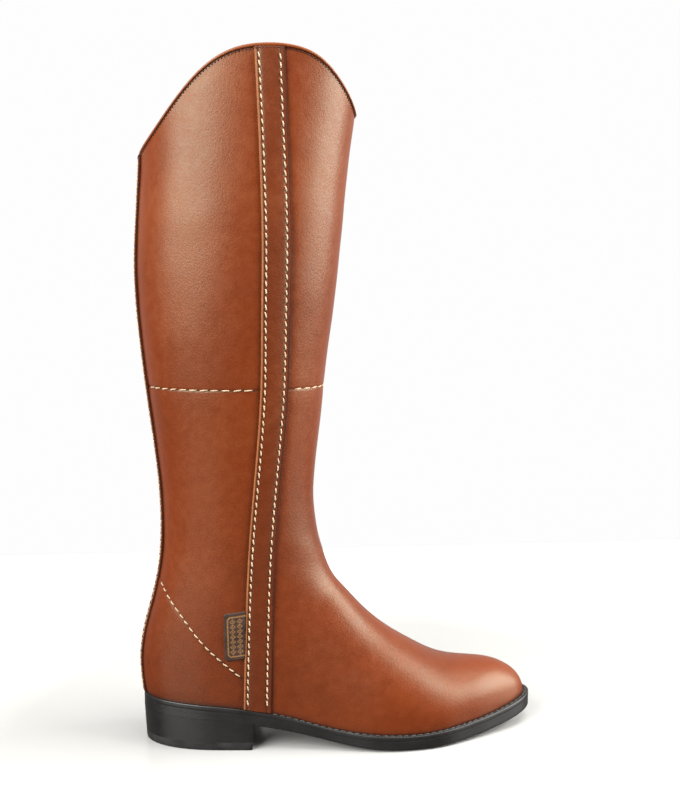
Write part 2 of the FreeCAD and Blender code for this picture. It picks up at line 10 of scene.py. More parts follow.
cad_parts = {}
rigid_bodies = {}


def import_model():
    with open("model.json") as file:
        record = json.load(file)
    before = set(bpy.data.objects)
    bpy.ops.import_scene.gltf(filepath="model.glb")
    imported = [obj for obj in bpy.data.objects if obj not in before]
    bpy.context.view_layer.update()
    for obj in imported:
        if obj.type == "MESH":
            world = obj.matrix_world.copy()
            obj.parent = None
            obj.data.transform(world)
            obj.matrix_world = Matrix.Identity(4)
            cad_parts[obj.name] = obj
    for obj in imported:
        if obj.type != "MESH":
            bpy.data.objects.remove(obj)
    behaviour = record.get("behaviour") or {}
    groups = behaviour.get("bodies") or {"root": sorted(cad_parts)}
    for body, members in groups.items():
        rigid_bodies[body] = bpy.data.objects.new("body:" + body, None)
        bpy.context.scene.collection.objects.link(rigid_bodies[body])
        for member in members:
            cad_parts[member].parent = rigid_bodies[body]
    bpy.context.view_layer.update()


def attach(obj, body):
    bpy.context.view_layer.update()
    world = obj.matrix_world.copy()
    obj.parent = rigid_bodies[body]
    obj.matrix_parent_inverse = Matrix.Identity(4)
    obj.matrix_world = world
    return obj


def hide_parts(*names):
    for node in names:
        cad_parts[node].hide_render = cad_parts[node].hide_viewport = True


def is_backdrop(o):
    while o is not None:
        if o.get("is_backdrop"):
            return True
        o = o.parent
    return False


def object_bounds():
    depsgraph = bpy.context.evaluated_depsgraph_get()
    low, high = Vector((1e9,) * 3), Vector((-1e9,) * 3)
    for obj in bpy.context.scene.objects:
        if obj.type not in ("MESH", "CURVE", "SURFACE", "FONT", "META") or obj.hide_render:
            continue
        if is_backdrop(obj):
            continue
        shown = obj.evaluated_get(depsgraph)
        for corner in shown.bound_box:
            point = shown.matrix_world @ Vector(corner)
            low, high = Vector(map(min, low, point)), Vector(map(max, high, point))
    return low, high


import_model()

MM = 0.001
OUTER, INNER = -1, 1
BODY = "boot"

# ---------------------------------------------------------------- the shape, as in the CAD frame
TOE_X = 139.0
ANKLE_Z = 150.0
FADE_Z = 340.0
SEAM_TOP = 475.9
HEEL_BREAST_X = -57.0
LEATHER_T = 1.6
LINING_T = 0.9
STIFFENER_T = 1.1
STRAP_T = 1.4
GAP = 0.15
FACING_H = 36.0
LINING_JOIN_Z = 252.0
TOP_PIECE_T = 6.0
PIVOT_X = 45.0           # the boot is drawn with its ball flat on z = 0, then tipped forward about this line
TILT = math.radians(1.4)


def spline(points):
    """Natural cubic spline through (t, value) pairs, straight beyond its ends."""
    t, y = np.array(points, float).T
    h = np.diff(t)
    n = len(t)
    system = np.eye(n)
    right = np.zeros(n)
    for i in range(1, n - 1):
        system[i, i - 1:i + 2] = h[i - 1], 2 * (h[i - 1] + h[i]), h[i]
        right[i] = 3 * ((y[i + 1] - y[i]) / h[i] - (y[i] - y[i - 1]) / h[i - 1])
    c = np.linalg.solve(system, right)
    b = np.diff(y) / h - h * (2 * c[:-1] + c[1:]) / 3
    d = np.diff(c) / (3 * h)
    last = b[-1] + h[-1] * (2 * c[-2] + 3 * d[-1] * h[-1])

    def value(x):
        x = np.asarray(x, float)
        k = np.clip(np.searchsorted(t, x) - 1, 0, n - 2)
        u = x - t[k]
        inside = y[k] + u * (b[k] + u * (c[k] + u * d[k]))
        return np.where(x < t[0], y[0] + b[0] * (x - t[0]), np.where(x > t[-1], y[-1] + last * (x - t[-1]), inside))

    return value


back_x = spline([(22, -137.4), (32, -138.7), (42, -139.8), (52, -140.3), (62, -139.9), (72, -138.4), (95, -132.5),
                 (120, -126.5), (150, -123.8), (185, -124.8), (235, -130.5), (285, -136), (340, -138.6),
                 (365, -137.2), (400, -134.8), (482, -131)])
front_x = spline([(22, -42), (90, -28), (130, -19.5), (165, -16.8), (200, -14.2), (225, -11.1), (250, -8.9),
                  (300, -2.5), (350, 3.3), (400, 8.3), (440, 13.5), (482, 19)])
tube_half_width = spline([(22, 31.5), (60, 33.5), (100, 34.5), (140, 35.5), (180, 37.5), (235, 42),
                          (290, 45.5), (340, 47), (400, 47), (440, 46.5), (482, 46)])
instep_z = spline([(-70, 170), (-30, 138.7), (0, 111.5), (20, 90), (40, 73.6), (60, 61), (75, 53.4), (92, 49.8),
                   (110, 48.6)])
feather_z = spline([(-142, 30), (-100, 29.8), (-64, 27.2), (-43, 23.8), (-20, 18.2), (0, 13.8), (20, 11.5),
                    (40, 10.9), (60, 11.2), (78, 12.5), (90, 13.6), (102, 15.1), (118, 17.8), (133, 21), (142, 23.2)])
outer_foot_width = spline([(-60, 33), (-20, 34.5), (10, 37.5), (30, 40.2), (50, 40.5), (65, 40), (78, 38.6),
                           (90, 35.3), (101, 31.5), (116, 27.6), (124, 26.4), (131, 25.5), (139, 25)])
inner_foot_width = spline([(-60, 31), (-20, 29.5), (10, 32.5), (30, 37), (50, 40.6), (65, 40.4), (78, 38.8),
                           (90, 35.3), (101, 31.5), (116, 27.6), (124, 26.4), (131, 25.5), (139, 25)])
centre_y = spline([(-142, 0), (0, 0), (30, 0.1), (48, 0.6), (65, 2.6), (78, 5.4), (90, 8), (101, 10),
                   (116, 13), (124, 14.3), (131, 15.1), (139, 15.4)])
top_z = spline([(-137, 408), (-127, 417), (-106, 440.8), (-88, 459.4), (-66, 472.3), (-45, 475.9), (-26, 475.1),
                (-8, 468), (5, 454), (10, 445.8), (13, 439), (15.5, 431)])
seam_x = spline([(22, -54.7), (66, -53.7), (108, -52.4), (151, -50), (212, -44.4), (251, -41.3), (300, -39.8),
                 (350, -38.7), (400, -39.6), (475, -42.3)])
strap_half_width = spline([(22, 9.6), (100, 9.2), (150, 8.95), (206, 8.8), (250, 9), (300, 9.3), (377, 9.5),
                           (420, 9.4), (478, 9.7)])
counter_top = spline([(-146, 124), (-126, 112), (-109, 91), (-95, 73), (-80, 58), (-64, 46)])
sole_margin = spline([(-142, 0.9), (-75, 1.0), (-45, 1.6), (-10, 2.2), (30, 3.0), (80, 3.2), (120, 3.2), (134, 4.0),
                      (142, 4.2)])
sole_bottom_line = spline([(-142, 20), (-100, 20), (-57.6, 16.4), (-43.6, 13.7), (-31.9, 10.9), (-20.3, 8.1),
                           (-8.6, 5.6), (3, 3.2), (14.6, 1.4), (26, 0.4), (38, 0), (50, 0), (65, 0.4), (78, 1.1),
                           (90, 2.0), (102.5, 3.5), (118, 5.9), (133, 9.2), (142, 11.6)])


def smooth_step(a, b, x):
    t = np.clip((np.asarray(x, float) - a) / (b - a), 0, 1)
    return t * t * (3 - 2 * t)


def between(a, b, t):
    return a + (b - a) * t


def foot_width(x):
    return (outer_foot_width(x) + inner_foot_width(x)) / 2


def ridge_z(x):
    start = 92.0
    t = np.clip((x - start) / (TOE_X - start), 0, 1)
    low = feather_z(x)
    rounded = low + (instep_z(x) - low) * np.sqrt(1 - t ** 3.1)
    return np.where(x <= start, instep_z(x), rounded)


def width_square(x, z):
    """Square of the mean half-width at a place of the side view; below 0 outside the boot."""
    middle = (front_x(z) + back_x(z)) / 2
    reach = (front_x(z) - back_x(z)) / 2
    tube = tube_half_width(z) ** 2 * (1 - ((x - middle) / reach) ** 2)
    toe = 1 - (np.maximum(x - 100, 0) / (TOE_X - 100)) ** 2
    heelward = 1 - (np.maximum(-35 - x, 0) / 65) ** 2
    wall = feather_z(x) + between(8.0, 0.8, smooth_step(95, 136, x))
    rise = np.maximum(z - wall, 0) / np.maximum(ridge_z(x) - wall, 1.0)
    foot = foot_width(x) ** 2 * toe * (heelward - rise ** 2)
    overlap = np.maximum(1500.0 - np.abs(tube - foot), 0) / 1500.0
    joined = np.maximum(tube, foot) + overlap * overlap * 1500.0 / 4
    return np.where(x >= TOE_X, -100 * (x - TOE_X + 0.01), joined)


def side_share(x, z, side):
    own = np.where(side == OUTER, outer_foot_width(x), inner_foot_width(x))
    low = 1 - smooth_step(40, 110, z)
    return 1 + (own / foot_width(x) - 1) * low * smooth_step(-95, -55, x)


def surface(x, z, side, lift=0.0):
    """Points of the upper's outer surface over places of the side view, moved out by lift."""
    x, z, side, lift = np.broadcast_arrays(*[np.asarray(v, float) for v in (x, z, side, lift)])
    e = 0.05
    share = side_share(x, z, side)
    flat = np.sqrt(np.maximum(width_square(x, z), 0)) * share
    gx = (width_square(x + e, z) - width_square(x - e, z)) / (2 * e) * share ** 2
    gz = (width_square(x, z + e) - width_square(x, z - e)) / (2 * e) * share ** 2
    bend = (centre_y(x + e) - centre_y(x - e)) / (2 * e)
    y = side * flat
    normal = np.stack([-gx - 2 * y * bend, 2 * y, -gz], axis=-1)
    normal /= np.linalg.norm(normal, axis=-1, keepdims=True)
    return np.stack([x, centre_y(x) + y, z], axis=-1) + normal * lift[..., None]


def level_z(level, x):
    seam = seam_x(level)
    height = level + (top_z(x) - top_z(seam)) * smooth_step(FADE_Z, SEAM_TOP, level)
    low = np.clip((ANKLE_Z - level) / (ANKLE_Z - 32.0), 0, 1)
    rear = height + low ** 1.5 * (feather_z(x) - feather_z(seam))
    chord = (feather_z(TOE_X) - feather_z(seam)) / (TOE_X - seam)
    fan = np.tan(np.radians(17 * np.sin(np.pi * low)))
    sag = feather_z(x) - feather_z(seam) - chord * (x - seam)
    fore = height + (x - seam) * (fan * (1 - low ** 3) + chord * low ** 3) + low ** 1.5 * sag
    return np.where(x <= seam, rear, fore)


def level_end(levels, way):
    """Where level lines leave the side view, to the front (+1) or to the back (-1)."""
    steps = np.arange(0, 262, 2.0) * way
    x = seam_x(levels)[:, None] + steps
    outside = width_square(x, level_z(levels[:, None], x)) <= 0
    first = np.argmax(outside, axis=1)
    far = x[np.arange(len(levels)), first]
    near = far - 2 * way
    for _ in range(36):
        middle = (near + far) / 2
        inside = width_square(middle, level_z(levels, middle)) > 0
        near = np.where(inside, middle, near)
        far = np.where(inside, far, middle)
    return near


def span(levels):
    front = level_end(levels, 1)
    back = level_end(levels, -1)
    return (front + back) / 2, (front - back) / 2


def angle_at(levels, x):
    middle, reach = span(levels)
    return np.arccos(np.clip((x - middle) / reach, -1, 1))


def on_levels(levels, angles, lift=0.0):
    """Points at angles round the boot on level lines. Angles: (levels, columns), positive on the outer side."""
    levels = np.asarray(levels, float)
    middle, reach = span(levels)
    x = middle[:, None] + reach[:, None] * np.cos(angles)
    side = np.where(np.sin(angles) >= 0, OUTER, INNER)
    z = level_z(levels[:, None], x)
    if callable(lift):
        lift = lift(x, z)
    return surface(x, z, side, lift), x, z


# ---------------------------------------------------------------- meshes
drawn_pieces = []        # pieces still to be tipped on to the heel


def new_piece(name, verts, faces, body=BODY, sharp=40.0, tips=True):
    """A mesh piece from points in millimetres, with its faces turned outwards."""
    mesh = bpy.data.meshes.new(name)
    mesh.from_pydata((np.asarray(verts, float).reshape(-1, 3) * MM).tolist(), [], [list(f) for f in faces])
    bm = bmesh.new()
    bm.from_mesh(mesh)
    bmesh.ops.remove_doubles(bm, verts=bm.verts, dist=2e-6)
    bmesh.ops.recalc_face_normals(bm, faces=bm.faces)
    bm.to_mesh(mesh)
    bm.free()
    mesh.polygons.foreach_set("use_smooth", [True] * len(mesh.polygons))
    mesh.set_sharp_from_angle(angle=math.radians(sharp))
    piece = bpy.data.objects.new(name, mesh)
    bpy.context.scene.collection.objects.link(piece)
    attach(piece, body)
    if tips:
        drawn_pieces.append(piece)
    return piece


def grid_faces(rows, columns, start=0, wrap=False, flip=False):
    r, c = np.meshgrid(np.arange(rows - 1), np.arange(columns if wrap else columns - 1), indexing="ij")
    n = (c + 1) % columns
    quads = np.stack([r * columns + c, r * columns + n, (r + 1) * columns + n, (r + 1) * columns + c], axis=-1)
    quads = quads.reshape(-1, 4) + start
    return (quads[:, ::-1] if flip else quads).tolist()


def caps(rows, columns):
    """The two faces that close a tube of rows."""
    return [list(range(columns)), list(range((rows - 1) * columns, rows * columns))]


def thick_sheet(name, outer, inner, **options):
    """A closed sheet between two grids of points."""
    rows, columns = outer.shape[:2]
    count = rows * columns
    faces = grid_faces(rows, columns) + grid_faces(rows, columns, count, flip=True)
    rim = list(range(columns))
    rim += [r * columns + columns - 1 for r in range(1, rows)]
    rim += [(rows - 1) * columns + c for c in range(columns - 2, -1, -1)]
    rim += [r * columns for r in range(rows - 2, 0, -1)]
    for a, b in zip(rim, rim[1:] + rim[:1]):
        faces.append((a, b, b + count, a + count))
    return new_piece(name, np.concatenate([outer.reshape(-1, 3), inner.reshape(-1, 3)]), faces, **options)


def swept(name, points, closed_path=False, **options):
    """A tube from points (path, section, 3); its section is a closed loop."""
    rows, columns = points.shape[:2]
    if closed_path:
        points = np.concatenate([points, points[:1]])
        rows += 1
    faces = grid_faces(rows, columns, wrap=True)
    if not closed_path:
        faces += caps(rows, columns)
    return new_piece(name, points, faces, **options)


# ---------------------------------------------------------------- lines of points
def unit(vectors):
    return vectors / np.maximum(np.linalg.norm(vectors, axis=-1, keepdims=True), 1e-9)


def run_lengths(points):
    """Length along a line of points up to each of them."""
    return np.concatenate([[0], np.cumsum(np.linalg.norm(np.diff(points, axis=0), axis=1))])


def interpolated(wanted, lengths, values):
    return np.stack([np.interp(wanted, lengths, column) for column in values.T], axis=-1)


def resample(points, step):
    """Points evenly spaced along a line, with the count chosen from the step."""
    lengths = run_lengths(points)
    count = max(2, int(round(lengths[-1] / step)) + 1)
    wanted = np.linspace(0, lengths[-1], count)
    return interpolated(wanted, lengths, points)


class SewLine:
    """A line on the leather, measured along its length, with the direction out of the leather."""

    def __init__(self, base, raised):
        self.lengths = run_lengths(base)
        self.base = base
        self.out = unit(raised - base)
        self.total = self.lengths[-1]

    def at(self, s):
        s = np.asarray(s, float)
        return interpolated(s, self.lengths, self.base), unit(interpolated(s, self.lengths, self.out))

    def along(self, s):
        ahead, _ = self.at(s + 0.4)
        behind, _ = self.at(s - 0.4)
        return unit(ahead - behind)


def sew_line(x, z, side, lift):
    return SewLine(surface(x, z, side, lift), surface(x, z, side, lift + 1.0))


def stitches(name, lines, pitch, length, width, height, slant=0.0, twist=3.0, material=None, seed=1):
    """Twisted thread along sewing lines: one plump capsule for each stitch, its ends sunk in the leather."""
    rng = np.random.default_rng(seed)
    rings, around = 11, 8
    t = np.linspace(-1, 1, rings)
    turn = np.arange(around) * 2 * math.pi / around
    verts, faces = [], []
    for line in lines:
        count = int(line.total / pitch)
        start = (line.total - count * pitch) / 2 + pitch / 2
        for k in range(count):
            centre = start + k * pitch + rng.normal(0, 0.03) * pitch
            long = length * (1 + rng.normal(0, 0.05)) / 2
            lean = slant + rng.normal(0, 0.05)
            tangent = line.along(np.array(centre))
            _, out = line.at(centre)
            across = np.cross(out, tangent)
            base, _ = line.at(centre + t * long)
            arch = height * (0.55 - 1.05 * np.abs(t) ** 3.5)
            axis_line = base + out * arch[:, None] + across * (lean * long * t)[:, None]
            swell = np.sqrt(np.maximum(1 - np.abs(t) ** 4.0, 0.02))
            spiral = 1 + 0.13 * np.cos(2 * (turn[None, :] - twist * t[:, None]))
            a = (width / 2 * swell)[:, None] * spiral * np.cos(turn)[None, :]
            b = (height / 2 * swell)[:, None] * spiral * np.sin(turn)[None, :]
            ring = axis_line[:, None, :] + across * a[..., None] + out * b[..., None]
            first = len(verts) * rings * around
            verts.append(ring.reshape(-1, 3))
            faces += grid_faces(rings, around, first, wrap=True)
            faces.append(list(range(first + around - 1, first - 1, -1)))
            last = first + (rings - 1) * around
            faces.append(list(range(last, last + around)))
    piece = new_piece(name, np.concatenate(verts), faces, sharp=80)
    piece.data.materials.append(material)
    return piece


def needle_holes(name, lines, pitch, radius, material, stretch=1.0):
    """Needle holes between the stitches as painted shade: thin dark lenses sunk into the leather, standing for the
    shadow inside each hole.
    """
    around = 10
    turn = np.arange(around) * 2 * math.pi / around
    verts, faces = [], []
    for line in lines:
        count = int(line.total / pitch)
        start = (line.total - count * pitch) / 2
        for k in range(count + 1):
            s = min(max(start + k * pitch, 0.3), line.total - 0.3)
            place, out = line.at(s)
            tangent = line.along(np.array(s))
            across = np.cross(out, tangent)
            rim = np.cos(turn)[:, None] * tangent * radius * stretch + np.sin(turn)[:, None] * across * radius
            first = len(verts) * (around + 2)
            verts.append(np.concatenate([place + rim - out * 0.10, [place + out * 0.06, place - out * 0.25]]))
            for i in range(around):
                j = (i + 1) % around
                faces.append((first + i, first + j, first + around))
                faces.append((first + j, first + i, first + around + 1))
    piece = new_piece(name, np.concatenate(verts), faces, sharp=80)
    piece.data.materials.append(material)
    return piece


# ---------------------------------------------------------------- materials
class Nodes:
    """Short words for building a procedural material."""

    def __init__(self, name):
        self.material = bpy.data.materials.new(name)
        self.material.use_nodes = True
        self.tree = self.material.node_tree
        self.shader = self.tree.nodes["Principled BSDF"]
        self.object = self.add("ShaderNodeTexCoord").outputs["Object"]

    def add(self, kind, **values):
        node = self.tree.nodes.new(kind)
        for key, value in values.items():
            setattr(node, key, value)
        return node

    def link(self, source, target):
        self.tree.links.new(source, target)

    def stretch(self, scale):
        node = self.add("ShaderNodeMapping")
        node.inputs["Scale"].default_value = scale
        self.link(self.object, node.inputs["Vector"])
        return node.outputs["Vector"]

    def noise(self, scale, detail=3.0, rough=0.5, vector=None, distortion=0.0):
        node = self.add("ShaderNodeTexNoise")
        node.inputs["Scale"].default_value = scale
        node.inputs["Detail"].default_value = detail
        node.inputs["Roughness"].default_value = rough
        node.inputs["Distortion"].default_value = distortion
        self.link(vector or self.object, node.inputs["Vector"])
        return node.outputs["Fac"]

    def cells(self, scale, feature="F1"):
        node = self.add("ShaderNodeTexVoronoi", feature=feature)
        node.inputs["Scale"].default_value = scale
        self.link(self.object, node.inputs["Vector"])
        return node.outputs["Distance"]

    def wave(self, scale, direction, distortion):
        node = self.add("ShaderNodeTexWave", bands_direction=direction)
        node.inputs["Scale"].default_value = scale
        node.inputs["Distortion"].default_value = distortion
        self.link(self.object, node.inputs["Vector"])
        return node.outputs["Fac"]

    def attribute(self, name):
        return self.add("ShaderNodeAttribute", attribute_name=name).outputs["Fac"]

    def remap(self, source, a, b, c, d):
        node = self.add("ShaderNodeMapRange")
        self.link(source, node.inputs["Value"])
        for key, value in (("From Min", a), ("From Max", b), ("To Min", c), ("To Max", d)):
            node.inputs[key].default_value = value
        return node.outputs["Result"]

    def math(self, operation, a, b):
        node = self.add("ShaderNodeMath", operation=operation)
        for i, value in enumerate((a, b)):
            if isinstance(value, (int, float)):
                node.inputs[i].default_value = value
            else:
                self.link(value, node.inputs[i])
        return node.outputs["Value"]

    def ramp(self, source, stops):
        node = self.add("ShaderNodeValToRGB")
        ramp = node.color_ramp
        while len(ramp.elements) < len(stops):
            ramp.elements.new(0.5)
        for element, (position, colour) in zip(ramp.elements, stops):
            element.position = position
            element.color = (*colour, 1)
        self.link(source, node.inputs["Fac"])
        return node.outputs["Color"]

    def mix(self, fac, a, b):
        node = self.add("ShaderNodeMix", data_type="RGBA", blend_type="MIX")
        sockets = [s for s in node.inputs if s.type == "RGBA"]
        for socket, value in ((node.inputs[0], fac), (sockets[0], a), (sockets[1], b)):
            if isinstance(value, (int, float)):
                socket.default_value = value
            elif isinstance(value, tuple):
                socket.default_value = (*value, 1)
            else:
                self.link(value, socket)
        return [s for s in node.outputs if s.type == "RGBA"][0]

    def bump(self, height, strength, distance, normal=None):
        node = self.add("ShaderNodeBump")
        node.inputs["Strength"].default_value = strength
        node.inputs["Distance"].default_value = distance
        self.link(height, node.inputs["Height"])
        if normal:
            self.link(normal, node.inputs["Normal"])
        return node.outputs["Normal"]

    def finish(self, colour=None, rough=None, normal=None, **fixed):
        if colour is not None:
            self.link(colour, self.shader.inputs["Base Color"])
        if rough is not None:
            self.link(rough, self.shader.inputs["Roughness"])
        if normal is not None:
            self.link(normal, self.shader.inputs["Normal"])
        for key, value in fixed.items():
            self.shader.inputs[key.replace("_", " ").title().replace("Ior", "IOR")].default_value = value
        return self.material


def leather(name, dark, base, light, rough=(0.36, 0.48), grain=0.35, coat=0.06, pebble=0.22):
    """Smooth grained leather: mottled colour, fine cells and wrinkles, gloss that varies from place to place."""
    n = Nodes(name)
    broad = n.noise(9, 3, 0.55)
    fine = n.noise(160, 4, 0.6)
    tone = n.attribute("tone")
    mottle = n.math("ADD", n.remap(broad, 0.3, 0.7, -0.12, 0.12), n.remap(fine, 0.3, 0.7, -0.06, 0.06))
    place = n.math("ADD", mottle, tone)
    colour = n.ramp(place, [(0.0, dark), (0.5, base), (1.0, light)])
    pores = n.cells(900)
    speck = n.remap(pores, 0.0, 0.35, 0.0, 1.0)
    colour = n.mix(n.remap(speck, 0, 1, 0.16, 0.0), colour, dark)
    cells = n.cells(850, feature="SMOOTH_F1")
    wrinkle = n.noise(420, 5, 0.65, distortion=0.4)
    micro = n.noise(1900, 3, 0.6)
    normal = n.bump(cells, grain, 0.00022)
    normal = n.bump(wrinkle, pebble, 0.00035, normal)
    normal = n.bump(micro, 0.25, 0.00008, normal)
    gloss = n.remap(n.math("ADD", n.math("MULTIPLY", fine, 0.6), n.math("MULTIPLY", wrinkle, 0.4)), 0.35, 0.65, *rough)
    return n.finish(colour, gloss, normal, coat_weight=coat, coat_roughness=0.22,
                    specular_ior_level=0.5, specular_tint=(0.95, 1.0, 0.74, 1))


def read_vectors(elements, key):
    values = np.empty(len(elements) * 3, np.float32)
    elements.foreach_get(key, values)
    return values.reshape(-1, 3)


def point_places(piece):
    """Places x, y, z of the points of a piece, in millimetres."""
    return (read_vectors(piece.data.vertices, "co") / MM).T


def store(piece, name, values):
    """Gives each point of a piece a number that its material reads by name."""
    layer = piece.data.attributes.new(name, "FLOAT", "POINT")
    layer.data.foreach_set("value", values.astype(np.float32))


def paint(piece, tone):
    """Stores a light or dark tone for each point, from its place in millimetres: 0.5 is the plain colour."""
    x, y, z = point_places(piece)
    store(piece, "tone", np.broadcast_to(tone(x, y, z), x.shape))


def dress(piece, node, slot, *skins):
    """Gives a piece its materials and hides the CAD node that it stands for. The slot is not used."""
    for skin in skins:
        piece.data.materials.append(skin)
    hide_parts(node)


TAN_DARK = (0.060, 0.011, 0.004)
TAN = (0.174, 0.0265, 0.0030)
TAN_LIGHT = (0.290, 0.068, 0.015)
upper_skin = leather("upper_skin", TAN_DARK, TAN, TAN_LIGHT)
strap_skin = leather("strap_skin", TAN_DARK, (0.142, 0.0225, 0.0032), TAN_LIGHT, rough=(0.36, 0.48), pebble=0.5)


def raw_edge():
    """The cut edge of a strap: fibrous, lighter and more orange than its face."""
    n = Nodes("raw_edge")
    fibres = n.noise(1, 5, 0.7, vector=n.stretch((900, 900, 160)))
    colour = n.ramp(fibres, [(0.25, (0.20, 0.060, 0.014)), (0.75, (0.40, 0.145, 0.038))])
    return n.finish(colour, n.remap(fibres, 0.2, 0.8, 0.6, 0.85), n.bump(fibres, 0.5, 0.0002))


def thread_material(name, dark, light, rough=0.55, sheen=0.2):
    n = Nodes(name)
    strands = n.noise(1500, 4, 0.7)
    patches = n.noise(140, 2, 0.5)
    mixed = n.math("ADD", n.math("MULTIPLY", strands, 0.7), n.math("MULTIPLY", patches, 0.3))
    colour = n.ramp(mixed, [(0.3, dark), (0.62, light)])
    return n.finish(colour, None, n.bump(strands, 0.5, 0.0001), roughness=rough, sheen_weight=sheen)


def dark_edge():
    """Painted shadow for the rounded edges of the straps: dark and matte, darker than the strap's face."""
    n = Nodes("dark_edge")
    shade_variation = n.noise(300, 3, 0.6)
    colour = n.ramp(shade_variation, [(0.3, (0.040, 0.008, 0.003)), (0.7, (0.075, 0.016, 0.006))])
    return n.finish(colour, n.remap(shade_variation, 0.3, 0.7, 0.7, 0.85), None, specular_ior_level=0.2)


edge_skin = raw_edge()
painted_edge_shade = dark_edge()
cream_thread = thread_material("cream_thread", (0.34, 0.20, 0.095), (0.74, 0.58, 0.38))
brown_thread = thread_material("brown_thread", (0.020, 0.006, 0.004), (0.065, 0.020, 0.010), sheen=0.0)
black_thread = thread_material("black_thread", (0.012, 0.011, 0.011), (0.085, 0.08, 0.076), rough=0.4, sheen=0.0)


# Painted shade: the dark colour stands for the shadow inside the needle holes.
def needle_hole_shade_material():
    n = Nodes("needle_hole")
    shade = n.noise(800, 2, 0.5)
    return n.finish(n.ramp(shade, [(0.3, (0.030, 0.008, 0.004)), (0.7, (0.075, 0.020, 0.008))]), None, None,
                    roughness=0.9)


needle_hole_shade = needle_hole_shade_material()


# ---------------------------------------------------------------- the upper
def ripple(x, z, side, seed):
    """Gentle unevenness of soft leather, in millimetres."""
    rng = np.random.default_rng(seed)
    total = np.zeros(np.broadcast(x, z).shape)
    for length in (95, 62, 41, 27):
        for _ in range(3):
            angle, phase = rng.uniform(0, math.pi), rng.uniform(0, 2 * math.pi)
            total += length / 95 * np.sin(2 * math.pi * (x * math.cos(angle) + z * math.sin(angle)) / length + phase)
    return total * 0.07


def strap_valley(x, z):
    """The panels dip a little beside the side strap, where the rows of stitching pull them in."""
    distance = np.abs(x - seam_x(z)) - strap_half_width(z)
    return -0.35 * np.exp(-(np.maximum(distance, 0) / 3.0) ** 2)


def level_groove(z):
    return -0.32 * np.exp(-((z - LINING_JOIN_Z) / 0.9) ** 2) - 0.22 * np.exp(-((z - LINING_JOIN_Z) / 4.5) ** 2)


def counter_ridge(x, z):
    """The stiffened heel stands slightly proud, with a groove where the counter row is sewn."""
    above = z - counter_line(x)
    step = 0.35 * (1 - smooth_step(-6, 4, above))
    groove = -0.25 * np.exp(-(above / 1.2) ** 2)
    reach = 1 - smooth_step(-66, -58, x)
    return (step + groove) * reach


def waist_fold(x, z):
    """Soft creases where the leg meets the instep."""
    folds = 0.45 * np.sin((z + 0.55 * x - 118) / 5.2) * np.exp(-((z + 0.35 * x - 132) / 16) ** 2)
    return folds * smooth_step(-46, -16, x) * (1 - smooth_step(8, 34, x)) * 0.55


counter_line = spline([(-141, 127), (-126, 116.5), (-119, 107), (-109, 95), (-95, 77.5), (-81, 63.5), (-65, 50)])


def skin_lift(side, seed):
    def lift(x, z):
        total = ripple(x, z, side, seed) + strap_valley(x, z) + level_groove(z) + counter_ridge(x, z)
        total = total + waist_fold(x, z)
        hem = smooth_step(24, 34, z - feather_z(x) + 24)
        rim = 1 - smooth_step(-14, -4, z - top_z(x))
        return np.minimum(total * hem * rim, 0.5)
    return lift


def level_rows(step, low=26.2, high=SEAM_TOP, fine=()):
    """Heights of level lines: closer where they fan out over the toe and where a fine groove is."""
    rows = [low]
    while rows[-1] < high - 0.3:
        z = rows[-1]
        pace = step * between(1.0, 0.30, smooth_step(70, 50, z) * smooth_step(36, 46, z))
        for centre in fine:
            if abs(z - centre) < 4:
                pace = min(pace, 0.42)
        rows.append(min(z + pace, high))
    return np.array(rows)


def upper_panel(name, node, start, end, columns, seed, side):
    rows = level_rows(1.5, fine=(LINING_JOIN_Z,))
    seam_front = angle_at(rows, seam_x(rows) + 0.15)
    seam_back = angle_at(rows, seam_x(rows) - 0.15)
    t = np.linspace(0, 1, columns)
    a, b = start(seam_front, seam_back), end(seam_front, seam_back)
    angles = a[:, None] + (b - a)[:, None] * t[None, :]
    outer, x, z = on_levels(rows, angles, skin_lift(side, seed))
    inner, _, _ = on_levels(rows, angles, -LEATHER_T)
    piece = thick_sheet(name, outer, inner)
    dress(piece, node, "upper_leather", upper_skin)
    paint(piece, upper_light_and_shade)


def upper_light_and_shade(x, y, z):
    """Painted light and shade on the upper: painted shade low on the leg, at its foot by the welt (partly edge ink),
    beside the straps and in the waist and counter stitch grooves; a painted highlight towards the top; lighter towards
    the toe.
    """
    # painted shade: darker low on the leg
    low = -0.10 * (1 - smooth_step(60, 240, z))
    # painted shadow where the upper meets the welt, partly the ink of the edge
    hem = -0.55 * np.exp(-np.maximum(z - feather_z(x), 0) / 1.7)
    # painted shade beside the straps
    strap = -0.10 * np.exp(-(np.maximum(np.abs(x - seam_x(z)) - strap_half_width(z), 0) / 2.5) ** 2)
    toe = 0.10 * smooth_step(60, 130, x)
    # painted shade in the groove of the waist row
    level = -0.16 * np.exp(-((z - LINING_JOIN_Z) / 1.3) ** 2)
    # painted highlight towards the top of the leg
    top = 0.05 * smooth_step(300, 440, z)
    # painted shade in the groove of the counter row
    sewn = -0.18 * np.exp(-((z - counter_line(x)) / 1.8) ** 2) * (1 - smooth_step(-67, -62, x))
    return 0.5 + low + hem + strap + toe + level + top + sewn


half_turn = lambda f, b: np.full_like(f, math.pi - 0.005)
upper_panel("front_panel_skin", "front_panel", lambda f, b: -f, lambda f, b: f, 221, 3, 0)
upper_panel("outer_quarter_skin", "outer_quarter", lambda f, b: b, half_turn, 91, 5, OUTER)
upper_panel("inner_quarter_skin", "inner_quarter", lambda f, b: -b, lambda f, b: -half_turn(f, b), 91, 8, INNER)


# ---------------------------------------------------------------- straps and binding
BEVEL = 1.15             # width of the skived raw edge along the rear of a side strap
FRONT_SEW, REAR_SEW = 3.0, 2.75


